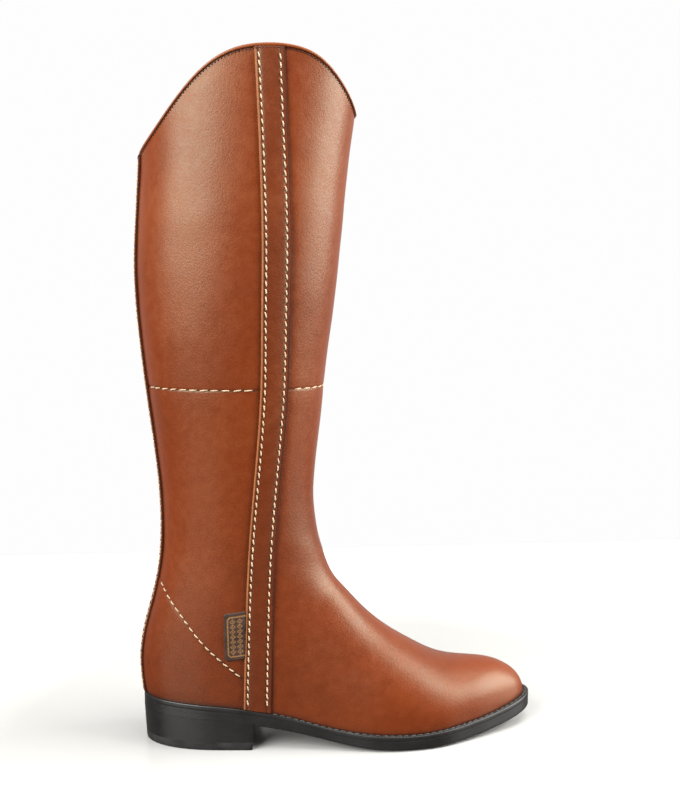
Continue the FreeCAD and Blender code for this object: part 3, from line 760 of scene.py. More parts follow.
def strip_section(half, thick, base, crown, sewn, bevel=0.0, rounded=0.45, steps=5):
    """Cross-section of a sewn strip: (offset, lift) round its outline. Its face is grooved where it is sewn."""
    start = -half + max(rounded, bevel)
    across = np.linspace(start, half - rounded, 41)
    top = base + thick + crown * (1 - (across / half) ** 2)
    for place in sewn:
        top = top - 0.30 * np.exp(-((across - place) / 0.85) ** 2)
        top = top - 0.10 * np.exp(-((across - place) / 2.2) ** 2)
    a = math.pi / 2 * np.arange(steps + 1) / steps
    corner = np.column_stack([half - rounded * (1 - np.sin(a[::-1])), base + thick - rounded * (1 - np.cos(a[::-1]))])
    corner = corner[::-1]
    if bevel:
        left = np.array([(-half + 0.05, base + 0.30), (-half + 0.35, base + 0.62), (-half + 0.8, base + 0.98),
                         (-half + bevel - 0.15, base + thick - 0.08)])
    else:
        left = (corner * np.array([-1, 1]))[::-1]
    face = np.column_stack([across, top])[1:-1]
    return np.concatenate([[(-half, base)], left, face, corner, [(half, base)]])


def side_strap(name, node, side):
    rows = np.linspace(26.5, 474.5, 330)
    grid = []
    for z, half in zip(rows, strap_half_width(rows)):
        section = strip_section(half, STRAP_T, GAP, 0.28, (REAR_SEW - half, half - FRONT_SEW), BEVEL)
        x = seam_x(z) + section[:, 0]
        grid.append(surface(x, level_z(z, x), side, section[:, 1]))
    piece = swept(name, np.array(grid), sharp=60)
    dress(piece, node, "strap_leather", strap_skin, edge_skin, painted_edge_shade)

    # slot 1 is the raw edge along the rear; slot 2, along the front edge, is painted shadow
    def edge_kind(x, y, z):
        offset = x - seam_x(z)
        half = strap_half_width(z)
        return np.where(offset < BEVEL - 0.1 - half, 1, np.where(offset > half - 0.42, 2, 0))

    shade_edges(piece, edge_kind)
    paint(piece, strap_shade)


def shade_edges(piece, kind):
    """Gives each face the material slot that kind() names for its centre in millimetres."""
    x, y, z = (read_vectors(piece.data.polygons, "center") / MM).T
    piece.data.polygons.foreach_set("material_index", kind(x, y, z).astype(np.int32))


# Painted shade on the side straps: darker in the stitch grooves, low on the leg and towards the front edge.
def strap_shade(x, y, z):
    offset = x - seam_x(z)
    half = strap_half_width(z)
    rows = np.exp(-((offset - half + FRONT_SEW) / 1.1) ** 2) + np.exp(-((offset + half - REAR_SEW) / 1.1) ** 2)
    # painted shadow towards the front edge
    rim = -0.22 * smooth_step(half - 1.1, half - 0.2, offset)
    return 0.47 - 0.20 * rows - 0.10 * (1 - smooth_step(60, 240, z)) + rim


side_strap("outer_side_strap_skin", "outer_side_strap", OUTER)
side_strap("inner_side_strap_skin", "inner_side_strap", INNER)


BACK_SEW = 2.9
BACK_HALF = 11.0         # half-width in which the cross-section of the back strap is drawn


def angle_off_back(levels, half):
    near, far = np.zeros_like(levels), np.full_like(levels, 1.2)
    for _ in range(26):
        turn = (near + far) / 2
        points, _, _ = on_levels(levels, math.pi + turn[:, None], 0.0)
        narrow = np.abs(points[:, 0, 1]) < half
        near = np.where(narrow, turn, near)
        far = np.where(narrow, far, turn)
    return near


def back_strap_half(z):
    return between(10.0, 11.5, smooth_step(60, 300, z))


def back_strap():
    rows = np.linspace(26.5, 473.8, 300)
    half = back_strap_half(rows)
    turn = angle_off_back(rows, half)
    section = strip_section(BACK_HALF, STRAP_T, GAP, 0.22, (BACK_SEW - BACK_HALF, BACK_HALF - BACK_SEW))
    angles = math.pi - section[None, :, 0] / BACK_HALF * turn[:, None]
    points, _, _ = on_levels(rows, angles, np.broadcast_to(section[None, :, 1], angles.shape))
    piece = swept("back_strap_skin", points, sharp=60)
    dress(piece, "back_strap", "strap_leather", strap_skin, painted_edge_shade)
    # both edges of the back strap get the painted shadow
    shade_edges(piece, lambda x, y, z: np.abs(y) > back_strap_half(z) - 0.3)

    # Painted shade on the back strap: darker in the stitch grooves and towards its edges.
    def tone(x, y, z):
        inwards = back_strap_half(z) - np.abs(y)
        sewn = np.exp(-((inwards - BACK_SEW) / 1.1) ** 2)
        return 0.5 - 0.18 * sewn - 0.20 * (1 - smooth_step(0.2, 0.9, inwards))

    paint(piece, tone)
    return rows, turn


back_rows_at, back_turns = back_strap()
back_turn = spline(list(zip(back_rows_at[::13], back_turns[::13])))


def top_binding():
    """A strip of thin leather rolled over the top edge."""
    inside = -LEATHER_T - GAP - LINING_T - GAP
    outer_low = [(-1.5, -0.05), (-1.5, GAP + 0.45), (-1.4, GAP + 0.72), (-1.1, GAP + 0.95), (-0.5, GAP + 1.12)]
    roll = []
    centre = (GAP + inside) / 2
    radius = (GAP + 1.15 - inside + 0.8) / 2
    for k in range(13):
        a = math.pi * k / 12
        roll.append((0.10 + 0.95 * math.sin(a), centre + radius * math.cos(a)))
    inner_low = [(-2.75, inside - 0.85), (-3.0, inside - 0.55), (-3.0, inside), (-0.05, inside), (-0.05, GAP)]
    section = np.array(outer_low + roll + inner_low)
    angles = np.linspace(-math.pi, math.pi, 361)[:-1]
    columns = []
    for down, lift in section:
        level = np.array([SEAM_TOP + min(down, 0.0)])
        points, _, _ = on_levels(level, angles[None, :], lift)
        columns.append(points[0] + np.array([0, 0, max(down, 0.0)]))
    piece = swept("top_binding_skin", np.stack(columns, axis=1), closed_path=True, sharp=60)
    dress(piece, "top_binding", "strap_leather", strap_skin)
    # painted highlight: lighter towards the top of the rolled binding
    paint(piece, lambda x, y, z: 0.52 + 0.30 * smooth_step(-1.5, -0.4, z - top_z(x)))


top_binding()


# ---------------------------------------------------------------- inside
LINING_DARK = (0.30, 0.17, 0.085)
LINING = (0.56, 0.38, 0.22)
LINING_LIGHT = (0.72, 0.54, 0.35)
lining_skin = leather("lining_skin", LINING_DARK, LINING, LINING_LIGHT, rough=(0.5, 0.7), coat=0.0, grain=0.25)
facing_skin = leather("facing_skin", TAN_DARK, (0.19, 0.055, 0.020), TAN_LIGHT, rough=(0.38, 0.55), coat=0.05)


def stiffened(x, z):
    heel = (1 - smooth_step(-63, -38, x)) * (1 - smooth_step(1, 24, z - counter_top(x)))
    return np.maximum(heel, smooth_step(78, 92, x))


def lining_lift(x, z):
    return -LEATHER_T - GAP - (STIFFENER_T + 2 * GAP) * stiffened(x, z)


def lining_back(x, z):
    return lining_lift(x, z) - LINING_T + ripple(x, z, 0, 11) * 0.5 - 0.1


# Painted shade: the lining is darker deep in the foot and along the join of its pieces.
def lining_shade(x, y, z):
    return 0.5 - 0.15 * (1 - smooth_step(30, 90, z)) - 0.12 * np.exp(-((z - LINING_JOIN_Z) / 2) ** 2)


def lining_piece(name, node, rows, start, end, columns, skin, slot):
    seam = angle_at(rows, seam_x(rows))
    a, b = start(seam), end(seam)
    angles = a[:, None] + (b - a)[:, None] * np.linspace(0, 1, columns)[None, :]
    outer, _, _ = on_levels(rows, angles, lining_lift)
    inner, _, _ = on_levels(rows, angles, lining_back)
    piece = thick_sheet(name, outer, inner)
    dress(piece, node, slot, skin)
    paint(piece, lining_shade)


facing_low = SEAM_TOP - FACING_H
foot_rows = level_rows(3.0, 31.35, LINING_JOIN_Z - GAP)
leg_rows = level_rows(4.0, LINING_JOIN_Z + GAP, facing_low - GAP)
facing_rows = level_rows(2.0, facing_low + GAP, SEAM_TOP - 0.1)
BACK_GAP = 0.005


def to_front(way):
    return lambda seam: way * (seam - BACK_GAP)


def past_seam(seam):
    return seam + BACK_GAP


def round_back(seam):
    return 2 * math.pi - seam - BACK_GAP


def fixed(angle):
    return lambda seam: angle + 0 * seam


for name, node, rows, start, end, columns in (
        ("vamp_lining_skin", "vamp_lining", foot_rows, to_front(-1), to_front(1), 121),
        ("heel_lining_skin", "heel_lining", foot_rows, past_seam, round_back, 91),
        ("leg_lining_front_skin", "leg_lining_front", leg_rows, to_front(-1), to_front(1), 71),
        ("leg_lining_back_skin", "leg_lining_back", leg_rows, past_seam, round_back, 71)):
    lining_piece(name, node, rows, start, end, columns, lining_skin, "lining_leather")
for name, node, way in (("outer_facing_skin", "outer_top_facing", 1), ("inner_facing_skin", "inner_top_facing", -1)):
    lining_piece(name, node, facing_rows, fixed(way * BACK_GAP), fixed(way * (math.pi - BACK_GAP)), 121,
                 facing_skin, "facing_leather")


# ---------------------------------------------------------------- outlines under the foot
def outline_end(way):
    """Place where the outline of the upper turns round the toe (+1) or the heel (-1)."""
    near, far = np.array([-50.0]), np.array([way * 150.0])
    for _ in range(50):
        x = (near + far) / 2
        inside = width_square(x, feather_z(x) + 1.5) > 0
        near, far = np.where(inside, x, near), np.where(inside, far, x)
    return near[0]


def foot_outline(count=480):
    front, back = outline_end(1), outline_end(-1)
    middle, reach = (front + back) / 2, (front - back) / 2
    angles = 2 * math.pi * (np.arange(count) + 0.5) / count
    x = middle + reach * np.cos(angles)
    return surface(x, feather_z(x) + 1.5, np.where(np.sin(angles) > 0, OUTER, INNER))[:, :2]


def outwards(points):
    along = np.roll(points, -1, axis=0) - np.roll(points, 1, axis=0)
    turn = np.sum(points[:, 0] * np.roll(points[:, 1], -1) - np.roll(points[:, 0], -1) * points[:, 1])
    return unit(np.stack([along[:, 1], -along[:, 0]], axis=-1)) * np.sign(turn)


outline = foot_outline()
outline_out = outwards(outline)
margin = sole_margin(outline[:, 0])


def sole_bottom(x):
    ground = (np.asarray(x, float) - PIVOT_X) * math.tan(TILT)
    return np.maximum(np.maximum(0.0, ground), sole_bottom_line(x))


def run_of(keep):
    """Indices of the outline points to keep, in order along the outline, as one unbroken run."""
    index = np.arange(len(outline))
    start = index[keep & ~np.roll(keep, 1)][0] if not keep.all() else 0
    order = (index + start) % len(outline)
    return order[keep[order]]


def edge_strip(name, keep, section, cut_x):
    """A strip along the outline, cut off square at cut_x.

    section(margin) gives (offset from the outline, height over the feather line).
    """
    order = run_of(keep)
    count = len(outline)
    places = [(outline[i], outline_out[i], margin[i]) for i in order]
    ends = ((order[0], (order[0] - 1) % count, 0), (order[-1], (order[-1] + 1) % count, len(order) + 1))
    for inside, beyond, at in ends:
        t = (cut_x - outline[inside, 0]) / (outline[beyond, 0] - outline[inside, 0])
        end = tuple(between(values[inside], values[beyond], t) for values in (outline, outline_out, margin))
        places.insert(at, end)
    grid = []
    for place, away, wide in places:
        offset, height = np.array(section(wide)).T
        flat = place + offset[:, None] * away
        grid.append(np.column_stack([flat, feather_z(flat[:, 0]) + height]))
    return swept(name, np.array(grid), sharp=50)


def black_edge():
    """Edge of welt and soles: inked and burnished, so it shines along the rims."""
    n = Nodes("black_edge")
    broad = n.noise(60, 3, 0.5)
    fine = n.noise(900, 4, 0.6)
    layers = n.noise(1, 3, 0.6, vector=n.stretch((60, 60, 1500)))
    colour = n.ramp(n.math("ADD", n.math("MULTIPLY", broad, 0.5), n.math("MULTIPLY", fine, 0.5)),
                    [(0.3, (0.006, 0.0055, 0.0055)), (0.7, (0.020, 0.018, 0.017))])
    normal = n.bump(fine, 0.12, 0.0001)
    normal = n.bump(layers, 0.07, 0.0001, normal)
    return n.finish(colour, n.remap(broad, 0.3, 0.7, 0.32, 0.42), normal, coat_weight=0.10, coat_roughness=0.25)


def sole_leather_material():
    """Underside of the leather sole: smooth brown, rubbed lighter where it meets the ground."""
    n = Nodes("sole_leather_skin")
    broad = n.noise(22, 4, 0.6)
    fine = n.noise(500, 5, 0.65)
    scuffs = n.noise(1, 4, 0.7, vector=n.stretch((40, 260, 40)))
    place = n.math("ADD", n.math("MULTIPLY", broad, 0.55), n.math("MULTIPLY", scuffs, 0.45))
    place = n.math("ADD", place, n.math("SUBTRACT", n.attribute("tone"), 0.5))
    colour = n.ramp(place, [(0.3, (0.12, 0.050, 0.022)), (0.55, (0.235, 0.105, 0.045)), (0.8, (0.40, 0.21, 0.105))])
    normal = n.bump(fine, 0.3, 0.0002)
    normal = n.bump(scuffs, 0.2, 0.0002, normal)
    return n.finish(colour, n.remap(scuffs, 0.3, 0.7, 0.34, 0.58), normal)


def rubber_material():
    n = Nodes("rubber_skin")
    stipple = n.cells(1400)
    dust = n.noise(80, 4, 0.6)
    colour = n.ramp(dust, [(0.35, (0.010, 0.010, 0.010)), (0.75, (0.035, 0.034, 0.033))])
    return n.finish(colour, n.remap(dust, 0.3, 0.7, 0.5, 0.72), n.bump(stipple, 0.4, 0.00025))


ink = black_edge()
sole_leather_skin = sole_leather_material()
rubber_skin = rubber_material()


def welt_section(m):
    channel = 0.45 * m
    return [(-5.0, -3.38), (m - 0.05, -3.38), (m, -3.33), (m + 0.02, -2.1), (m, -1.0), (m - 0.14, -0.5),
            (m - 0.42, -0.16), (m - 0.80, 0.0), (channel + 0.75, -0.04), (channel + 0.40, -0.26),
            (channel, -0.36), (channel - 0.40, -0.26), (channel - 0.7, -0.05), (-0.4, 0.0), (-5.0, 0.0)]


def rand_section(m):
    return [(-5.0, -3.38), (m - 0.05, -3.38), (m, -3.33), (m + 0.02, -1.8), (m, -0.8),
            (m - 0.12, -0.35), (m - 0.36, -0.08), (m - 0.6, 0.0), (-5.0, 0.0)]


WELT_END_X, RAND_END_X = -55.83, -55.87
welt = edge_strip("welt_skin", outline[:, 0] > WELT_END_X, welt_section, WELT_END_X)
rand = edge_strip("heel_rand_skin", outline[:, 0] < RAND_END_X, rand_section, RAND_END_X)
for piece, node in ((welt, "welt"), (rand, "heel_rand")):
    dress(piece, node, "welt_leather", ink)


def edge_row(offset, height, x_from):
    order = run_of(outline[:, 0] > x_from)
    flat = outline[order] + (offset * margin[order])[:, None] * outline_out[order]
    base = np.column_stack([flat, feather_z(flat[:, 0]) + height])
    return SewLine(base, base + np.array([0, 0, 1.0]))


welt_row = edge_row(0.45, -0.22, -46.0)
stitches("welt_stitches", [welt_row], 4.9, 3.9, 1.0, 0.75, slant=0.10, material=black_thread, seed=21)


def spine_of(points):
    """Nearest place on the middle line of the sole, which every ring closes in on."""
    x = np.clip(points[:, 0], -112, 108)
    return np.column_stack([x, centre_y(x)])


def zipped(loop, first):
    """Closes a long loop with narrow triangles that run straight across it, numbered from the index given."""
    count = len(loop)
    back, front = int(np.argmin(loop[:, 0])), int(np.argmax(loop[:, 0]))
    one = [(back + k) % count for k in range((front - back) % count + 1)]
    other = [(back - k) % count for k in range((back - front) % count + 1)]
    faces = []
    i, j = 1, 0
    while i < len(one) - 1 or j < len(other) - 1:
        step_one = j == len(other) - 1 or (i < len(one) - 1 and loop[one[i + 1], 0] <= loop[other[j + 1], 0])
        corner = one[i + 1] if step_one else other[j + 1]
        if corner not in (one[i], other[j]):
            faces.append([first + one[i], first + corner, first + other[j]])
        i, j = (i + 1, j) if step_one else (i, j + 1)
    return faces


def slab(name, offsets, rings, top, bottom, side):
    """A layer under the foot. Its side goes through (offset, share of height); rings close its faces inwards."""
    loops = []

    def closing(height, insets):
        made = []
        for inset in insets:
            flat = outline + (margin - inset)[:, None] * outline_out
            made.append(np.column_stack([flat, height(flat, inset)]))
        edge = made[-1][:, :2]
        middle = spine_of(edge)
        for share in rings:
            flat = middle + (edge - middle) * share
            made.append(np.column_stack([flat, height(flat, 20.0)]))
        return made

    above, below = closing(top, [0.06] + offsets[1:]), closing(bottom, [0.06] + offsets)
    loops += above[::-1]
    for inset, share in side:
        flat = outline + (margin - inset)[:, None] * outline_out
        high, low = top(flat, 0.0), bottom(flat, 0.0)
        loops.append(np.column_stack([flat, low + (high - low) * share]))
    loops += below
    columns = len(outline)
    faces = grid_faces(len(loops), columns, wrap=True)
    faces += zipped(loops[0], 0)
    faces += zipped(loops[-1], (len(loops) - 1) * columns)
    return new_piece(name, np.concatenate(loops), faces, sharp=38)


CHANNEL = 5.6            # distance of the closed stitch channel from the sole's edge


def outsole_bottom(flat, inset):
    x = flat[:, 0]
    forward = smooth_step(-50, -15, x)
    rise = 1.15 * forward * np.maximum(0, 1 - inset / 16.0) ** 2
    groove = 0.28 * forward * math.exp(-((inset - CHANNEL) / 0.45) ** 2)
    rounded = 0.35 * forward * max(0.0, 1 - inset / 0.9) ** 2
    return sole_bottom(x) + rise + groove + rounded


midsole = slab("midsole_skin", [0.5, 6.0], [0.5, 0.05], lambda p, i: feather_z(p[:, 0]) - 3.42,
               lambda p, i: feather_z(p[:, 0]) - 6.03, [(0.0, 0.98), (0.0, 0.02)])
outsole = slab("outsole_skin", [0.5, 1.2, 2.5, 4.2, 4.9, 5.25, 5.6, 5.95, 6.4, 8.0, 11.0, 15.0], [0.6, 0.25, 0.04],
               lambda p, i: feather_z(p[:, 0]) - 6.06, outsole_bottom,
               [(0.0, 0.99), (-0.02, 0.5), (0.0, 0.015)])
dress(midsole, "midsole", "sole_leather", ink)
dress(outsole, "outsole", "sole_leather", ink, sole_leather_skin)


def underside(piece, inset):
    """Faces that look down and lie inside the inked margin of the sole."""
    centres = read_vectors(piece.data.polygons, "center") / MM
    edge = outline + (margin - inset)[:, None] * outline_out
    gap = np.linalg.norm(centres[:, None, :2] - edge[None, ::2, :], axis=2)
    nearest = np.argmin(gap, axis=1) * 2
    inside = np.sum((centres[:, :2] - edge[nearest]) * outline_out[nearest], axis=1) < 0
    down = read_vectors(piece.data.polygons, "normal")[:, 2] < -0.5
    piece.data.polygons.foreach_set("material_index", (inside & down).astype(np.int32))


underside(outsole, 1.0)
paint(outsole, lambda x, y, z: 0.5 + 0.10 * np.exp(-((x - 45) / 38) ** 2) - 0.12 * (1 - smooth_step(-56, -20, x)))


# ---------------------------------------------------------------- the heel
def heel_loop(height, inset):
    """D-shaped outline of the heel where it has the given height: straight sides and a slightly hollow breast."""
    def drawn(x):
        return height(x) - (PIVOT_X - x) * math.tan(TILT)

    def taper(z):
        return between(1.3, 0.0, (z + 4.0) / 24.0)

    level = drawn(outline[:, 0])
    edge = outline + (margin - taper(level) - inset)[:, None] * outline_out
    edge[:, 0] += level * math.tan(TILT)
    front_level = float(drawn(np.array([HEEL_BREAST_X]))[0])
    breast = HEEL_BREAST_X - 1.5 * taper(front_level) - inset + front_level * math.tan(TILT)
    back = edge[run_of(outline[:, 0] < -50)]
    back = back[back[:, 0] < breast - 0.8]
    lengths = run_lengths(back)
    back = interpolated(np.linspace(0, lengths[-1], 220), lengths, back)
    first, last = back[0], back[-1]
    t = np.linspace(0, 1, 50)
    end = np.sign(last[1])
    y = between(abs(last[1]) - 0.1, -abs(first[1]) + 0.1, t) * end
    x = breast - 2.5 * (1 - (y / (abs(last[1]) - 0.1)) ** 2)
    flat = np.concatenate([back, np.column_stack([x, y])])
    return np.column_stack([flat, height(flat[:, 0])])


def heel_layer(name, low, high, rims):
    """One layer of the heel. low and high give its faces; rims are (share of height, inset)."""
    loops = []
    for share, inset in rims:
        loops.append(heel_loop(lambda x: low(x) * (1 - share) + high(x) * share, inset))
    columns = len(loops[0])
    faces = grid_faces(len(loops), columns, wrap=True) + caps(len(loops), columns)
    return new_piece(name, np.concatenate(loops), faces, sharp=50, tips=False)


def flat_at(z):
    return lambda x: np.full_like(np.asarray(x, float), z)


def tipped_sole(x):
    """Underside of the sole over the heel in the standing boot."""
    return sole_bottom(x - 20.0 * math.tan(TILT)) + (PIVOT_X - x) * math.tan(TILT) - 0.02


LIFT_T = 4.1
for k in range(4):
    low_z = TOP_PIECE_T + k * LIFT_T
    high = flat_at(low_z + LIFT_T - 0.005) if k < 3 else tipped_sole
    layer = heel_layer("heel_lift_%d_skin" % (k + 1), flat_at(low_z + 0.005), high,
                       [(0.0, 0.0), (1.0, 0.0)])
    dress(layer, "heel_lift_%d" % (k + 1), "heel_leather", ink)

top_piece = heel_layer("top_piece_skin", flat_at(0.0), flat_at(TOP_PIECE_T - 0.02),
                       [(0.0, 1.1), (0.02, 0.45), (0.06, 0.12), (0.12, 0.01), (0.6, 0.0), (1.0, 0.0)])
dress(top_piece, "top_piece", "heel_rubber", rubber_skin)

PIN_PLACES = [(x, way * y) for x, y in ((-62, 22), (-84, 25.5), (-108, 24.5), (-127, 14)) for way in (1, -1)]


def turned(name, places, profile, around=28):
    """The same turned shape at each place; the profile is (radius, height), closed by its two ends."""
    turn = np.arange(around) * 2 * math.pi / around
    verts, faces = [], []
    for x, y in places:
        first = len(verts) * len(profile) * around
        rings = [np.column_stack([x + r * np.cos(turn), y + r * np.sin(turn), np.full(around, z)]) for r, z in profile]
        verts.append(np.concatenate(rings))
        faces += grid_faces(len(profile), around, first, wrap=True)
        faces += [[first + i for i in cap] for cap in caps(len(profile), around)]
    return new_piece(name, np.concatenate(verts), faces, sharp=45, tips=False)


def sink_holes(piece, places, radius, depth):
    """Cuts shallow round holes into the underside of a piece."""
    profile = [(radius + 0.25, -0.5), (radius + 0.25, 0.0), (radius, 0.25), (radius, depth)]
    cutter = turned("hole_cutter", places, profile)
    boolean = piece.modifiers.new("holes", "BOOLEAN")
    boolean.operation = "DIFFERENCE"
    boolean.solver = "EXACT"
    boolean.object = cutter
    graph = bpy.context.evaluated_depsgraph_get()
    cut = bpy.data.meshes.new_from_object(piece.evaluated_get(graph))
    piece.modifiers.clear()
    piece.data = cut
    cut.set_sharp_from_angle(angle=math.radians(50))
    cut.polygons.foreach_set("use_smooth", [abs(face.normal.z) < 0.999 for face in cut.polygons])
    bpy.data.objects.remove(cutter)


sink_holes(top_piece, PIN_PLACES, 1.12, 2.0)


def brass_material():
    n = Nodes("brass_skin")
    turned_marks = n.noise(700, 4, 0.6)
    colour = n.ramp(turned_marks, [(0.3, (0.42, 0.27, 0.09)), (0.7, (0.78, 0.58, 0.26))])
    return n.finish(colour, n.remap(turned_marks, 0.3, 0.7, 0.22, 0.42), n.bump(turned_marks, 0.2, 0.00008), metallic=1.0)


pins = turned("top_piece_pins_skin", PIN_PLACES,
              [(0.35, 0.12), (0.72, 0.17), (0.92, 0.30), (1.0, 0.5), (1.0, 11.7), (0.7, 12.0)])
dress(pins, "top_piece_pins", "pin_brass", brass_material())


# ---------------------------------------------------------------- the footbed
def sock_material():
    n = Nodes("sock_liner_skin")
    broad = n.noise(25, 3, 0.55)
    pores = n.cells(1100)
    fine = n.noise(900, 4, 0.6)
    place = n.math("ADD", n.math("SUBTRACT", broad, 0.5), n.attribute("tone"))
    colour = n.ramp(place, [(0.3, (0.28, 0.155, 0.075)), (0.55, (0.50, 0.33, 0.185)), (0.85, (0.66, 0.48, 0.30))])
    normal = n.bump(pores, 0.3, 0.0002)
    return n.finish(colour, n.remap(fine, 0.3, 0.7, 0.45, 0.62), n.bump(fine, 0.25, 0.00015, normal))


def footbed(name, inset, bottom, top, rim):
    """A thin layer inside the boot: rings inside the outline, closed by a narrow face along the middle."""
    loops = []
    middle_of = lambda edge, share: spine_of(edge) + (edge - spine_of(edge)) * share
    edge = outline - inset * outline_out
    shares = [0.05, 0.2, 0.4, 0.6, 0.75, 0.86, 0.93, 0.97]
    for share in shares:
        flat = middle_of(edge, share)
        loops.append(np.column_stack([flat, top(flat, 20.0 * (1 - share) + inset)]))
    for more, height in rim:
        flat = outline - (inset + more) * outline_out
        low, high = bottom(flat, inset), top(flat, inset + 3.0)
        loops.append(np.column_stack([flat, low + (high - low) * height]))
    for share in shares[::-1]:
        flat = middle_of(edge, share)
        loops.append(np.column_stack([flat, bottom(flat, 20.0)]))
    columns = len(outline)
    faces = grid_faces(len(loops), columns, wrap=True) + caps(len(loops), columns)
    return new_piece(name, np.concatenate(loops), faces, sharp=50)


def sock_height(flat, inset):
    x = flat[:, 0]
    cup = 0.20 * np.exp(-((x + 95) / 24) ** 2) + 0.16 * np.exp(-((x - 45) / 30) ** 2)
    return feather_z(x) + 3.98 - cup * min(1.0, max(0.0, (inset - 6) / 8))


sock = footbed("sock_liner_skin", 4.65, lambda p, i: feather_z(p[:, 0]) + 3.17, sock_height,
               [(0.35, 1.0), (0.08, 0.8), (0.0, 0.45), (0.05, 0.1), (0.2, 0.0)])
dress(sock, "sock_liner", "insole_leather", sock_material())
paint(sock, lambda x, y, z: 0.5 - 0.10 * smooth_step(40, 120, x) + 0.05 * np.exp(-((x + 95) / 24) ** 2))


# ---------------------------------------------------------------- rows of thread
STRAP_FACE = GAP + STRAP_T
BESIDE_STRAP = 1.0
SEWN_SPAN = (28.0, 472.7)
STRAP_PITCH, WAIST_PITCH, COUNTER_PITCH = 5.2, 7.6, 5.7


def strap_rows():
    lines = []
    z = np.linspace(*SEWN_SPAN, 900)
    for side in (OUTER, INNER):
        for edge, inset in ((-1, REAR_SEW), (1, FRONT_SEW)):
            x = seam_x(z) + edge * (strap_half_width(z) - inset)
            lines.append(sew_line(x, level_z(z, x), side, STRAP_FACE - 0.24))
    return lines


def back_rows():
    z = np.linspace(*SEWN_SPAN, 600)
    lines = []
    for way in (-1, 1):
        turn = back_turn(z) * (BACK_HALF - BACK_SEW) / BACK_HALF * way
        base, _, _ = on_levels(z, (math.pi + turn)[:, None], STRAP_FACE - 0.26)
        raised, _, _ = on_levels(z, (math.pi + turn)[:, None], STRAP_FACE + 0.74)
        lines.append(SewLine(base[:, 0], raised[:, 0]))
    return lines


def level_row(level, start, end, lift):
    """A row along a level line between two angles round the leg."""
    angles = np.linspace(start, end, 500)[None, :]
    row = np.array([level])
    base, _, _ = on_levels(row, angles, lift)
    raised, _, _ = on_levels(row, angles, (lambda x, z: lift(x, z) + 1.0) if callable(lift) else lift + 1.0)
    return SewLine(base[0], raised[0])


def waist_rows():
    row = np.array([LINING_JOIN_Z])
    seam = float(seam_x(LINING_JOIN_Z))
    half = float(strap_half_width(LINING_JOIN_Z))
    ahead = float(angle_at(row, seam + half + BESIDE_STRAP)[0])
    behind = float(angle_at(row, seam - half - BESIDE_STRAP)[0])
    back = math.pi - float(back_turn(LINING_JOIN_Z)) - 0.02
    lift = -0.42
    return [level_row(LINING_JOIN_Z, -ahead, ahead, lift), level_row(LINING_JOIN_Z, behind, back, lift),
            level_row(LINING_JOIN_Z, -behind, -back, lift)]


def counter_rows():
    lines = []
    for side in (OUTER, INNER):
        x = np.linspace(-136, -58, 600)
        z = counter_line(x)
        reach_back = surface(x, z, side)
        visible = np.abs(reach_back[:, 1]) > back_strap_half(z) + BESIDE_STRAP
        visible &= x < seam_x(z) - strap_half_width(z) - 0.1
        visible &= width_square(x, z) > 1
        lines.append(sew_line(x[visible], z[visible], side, -0.06))
    return lines


def over_straps(x, z):
    """How far the straps lift a row that crosses them."""
    side_strap_lift = 1 - smooth_step(-0.5, 0.5, np.abs(x - seam_x(z)) - strap_half_width(z))
    return 1.45 * side_strap_lift


def binding_row():
    level = SEAM_TOP - 2.35
    row = np.array([level])
    turn = float(back_turn(level))
    angles = np.linspace(-math.pi, math.pi, 1600)[None, :]

    def lift(x, z, extra=0.0):
        back = 1 - smooth_step(-0.01, 0.01, math.pi - np.abs(angles) - turn)
        return 0.12 + over_straps(x, z) + 1.42 * back + extra

    base, _, _ = on_levels(row, angles, lift)
    raised, _, _ = on_levels(row, angles, lambda x, z: lift(x, z, 1.0))
    return SewLine(base[0], raised[0])


cream = dict(length=4.3, width=0.98, height=0.9, material=cream_thread)
strap_lines, back_lines = strap_rows(), back_rows()
stitches("strap_stitches", strap_lines, STRAP_PITCH, slant=0.16, seed=11, **cream)
stitches("back_strap_stitches", back_lines, STRAP_PITCH, slant=0.16, seed=12, **cream)
stitches("waist_stitches", waist_rows(), WAIST_PITCH, 5.9, 1.0, 0.9, slant=0.08, material=cream_thread, seed=13)
stitches("counter_stitches", counter_rows(), COUNTER_PITCH, 4.4, 0.98, 0.9, slant=0.1, material=cream_thread, seed=14)
stitches("binding_stitches", [binding_row()], 2.4, 1.2, 0.85, 0.5, slant=0.05, material=brown_thread, seed=15)
needle_holes("strap_needle_holes", strap_lines + back_lines, STRAP_PITCH, 0.62, needle_hole_shade, 1.25)
needle_holes("waist_needle_holes", waist_rows(), WAIST_PITCH, 0.6, needle_hole_shade, 1.5)
needle_holes("counter_needle_holes", counter_rows(), COUNTER_PITCH, 0.6, needle_hole_shade, 1.3)


# ---------------------------------------------------------------- the tab, left blank of any lettering
TAB_LOW, TAB_HIGH, TAB_W = 64.5, 98.5, 14.5


def tab_relief(across, up):
    """Height and gilding of the tab, by the distance from its free edge and the height from its middle.

    A frame with cut corners runs on under the strap; two columns of small lozenges stand inside it.
    """
    half = (TAB_HIGH - TAB_LOW) / 2
    side = across - 2.7
    end = half - 2.9 - np.abs(up)
    corner = (side + end - 1.5) / math.sqrt(2)
    frame_line = np.exp(-(np.minimum(np.minimum(side, end), corner) / 0.42) ** 2)
    step = 3.6
    row = (up + step / 2) % step - step / 2
    gilt = frame_line
    for column in (6.1, 11.0):
        off = across - column
        lozenge = np.abs(off) / 1.75 + np.abs(row) / 1.45
        mark = np.maximum(np.exp(-((lozenge - 1) / 0.20) ** 2), np.exp(-(np.hypot(off, row) / 0.40) ** 2))
        gilt = np.maximum(gilt, mark * (end > 1.0))
    return -0.15 * gilt, gilt


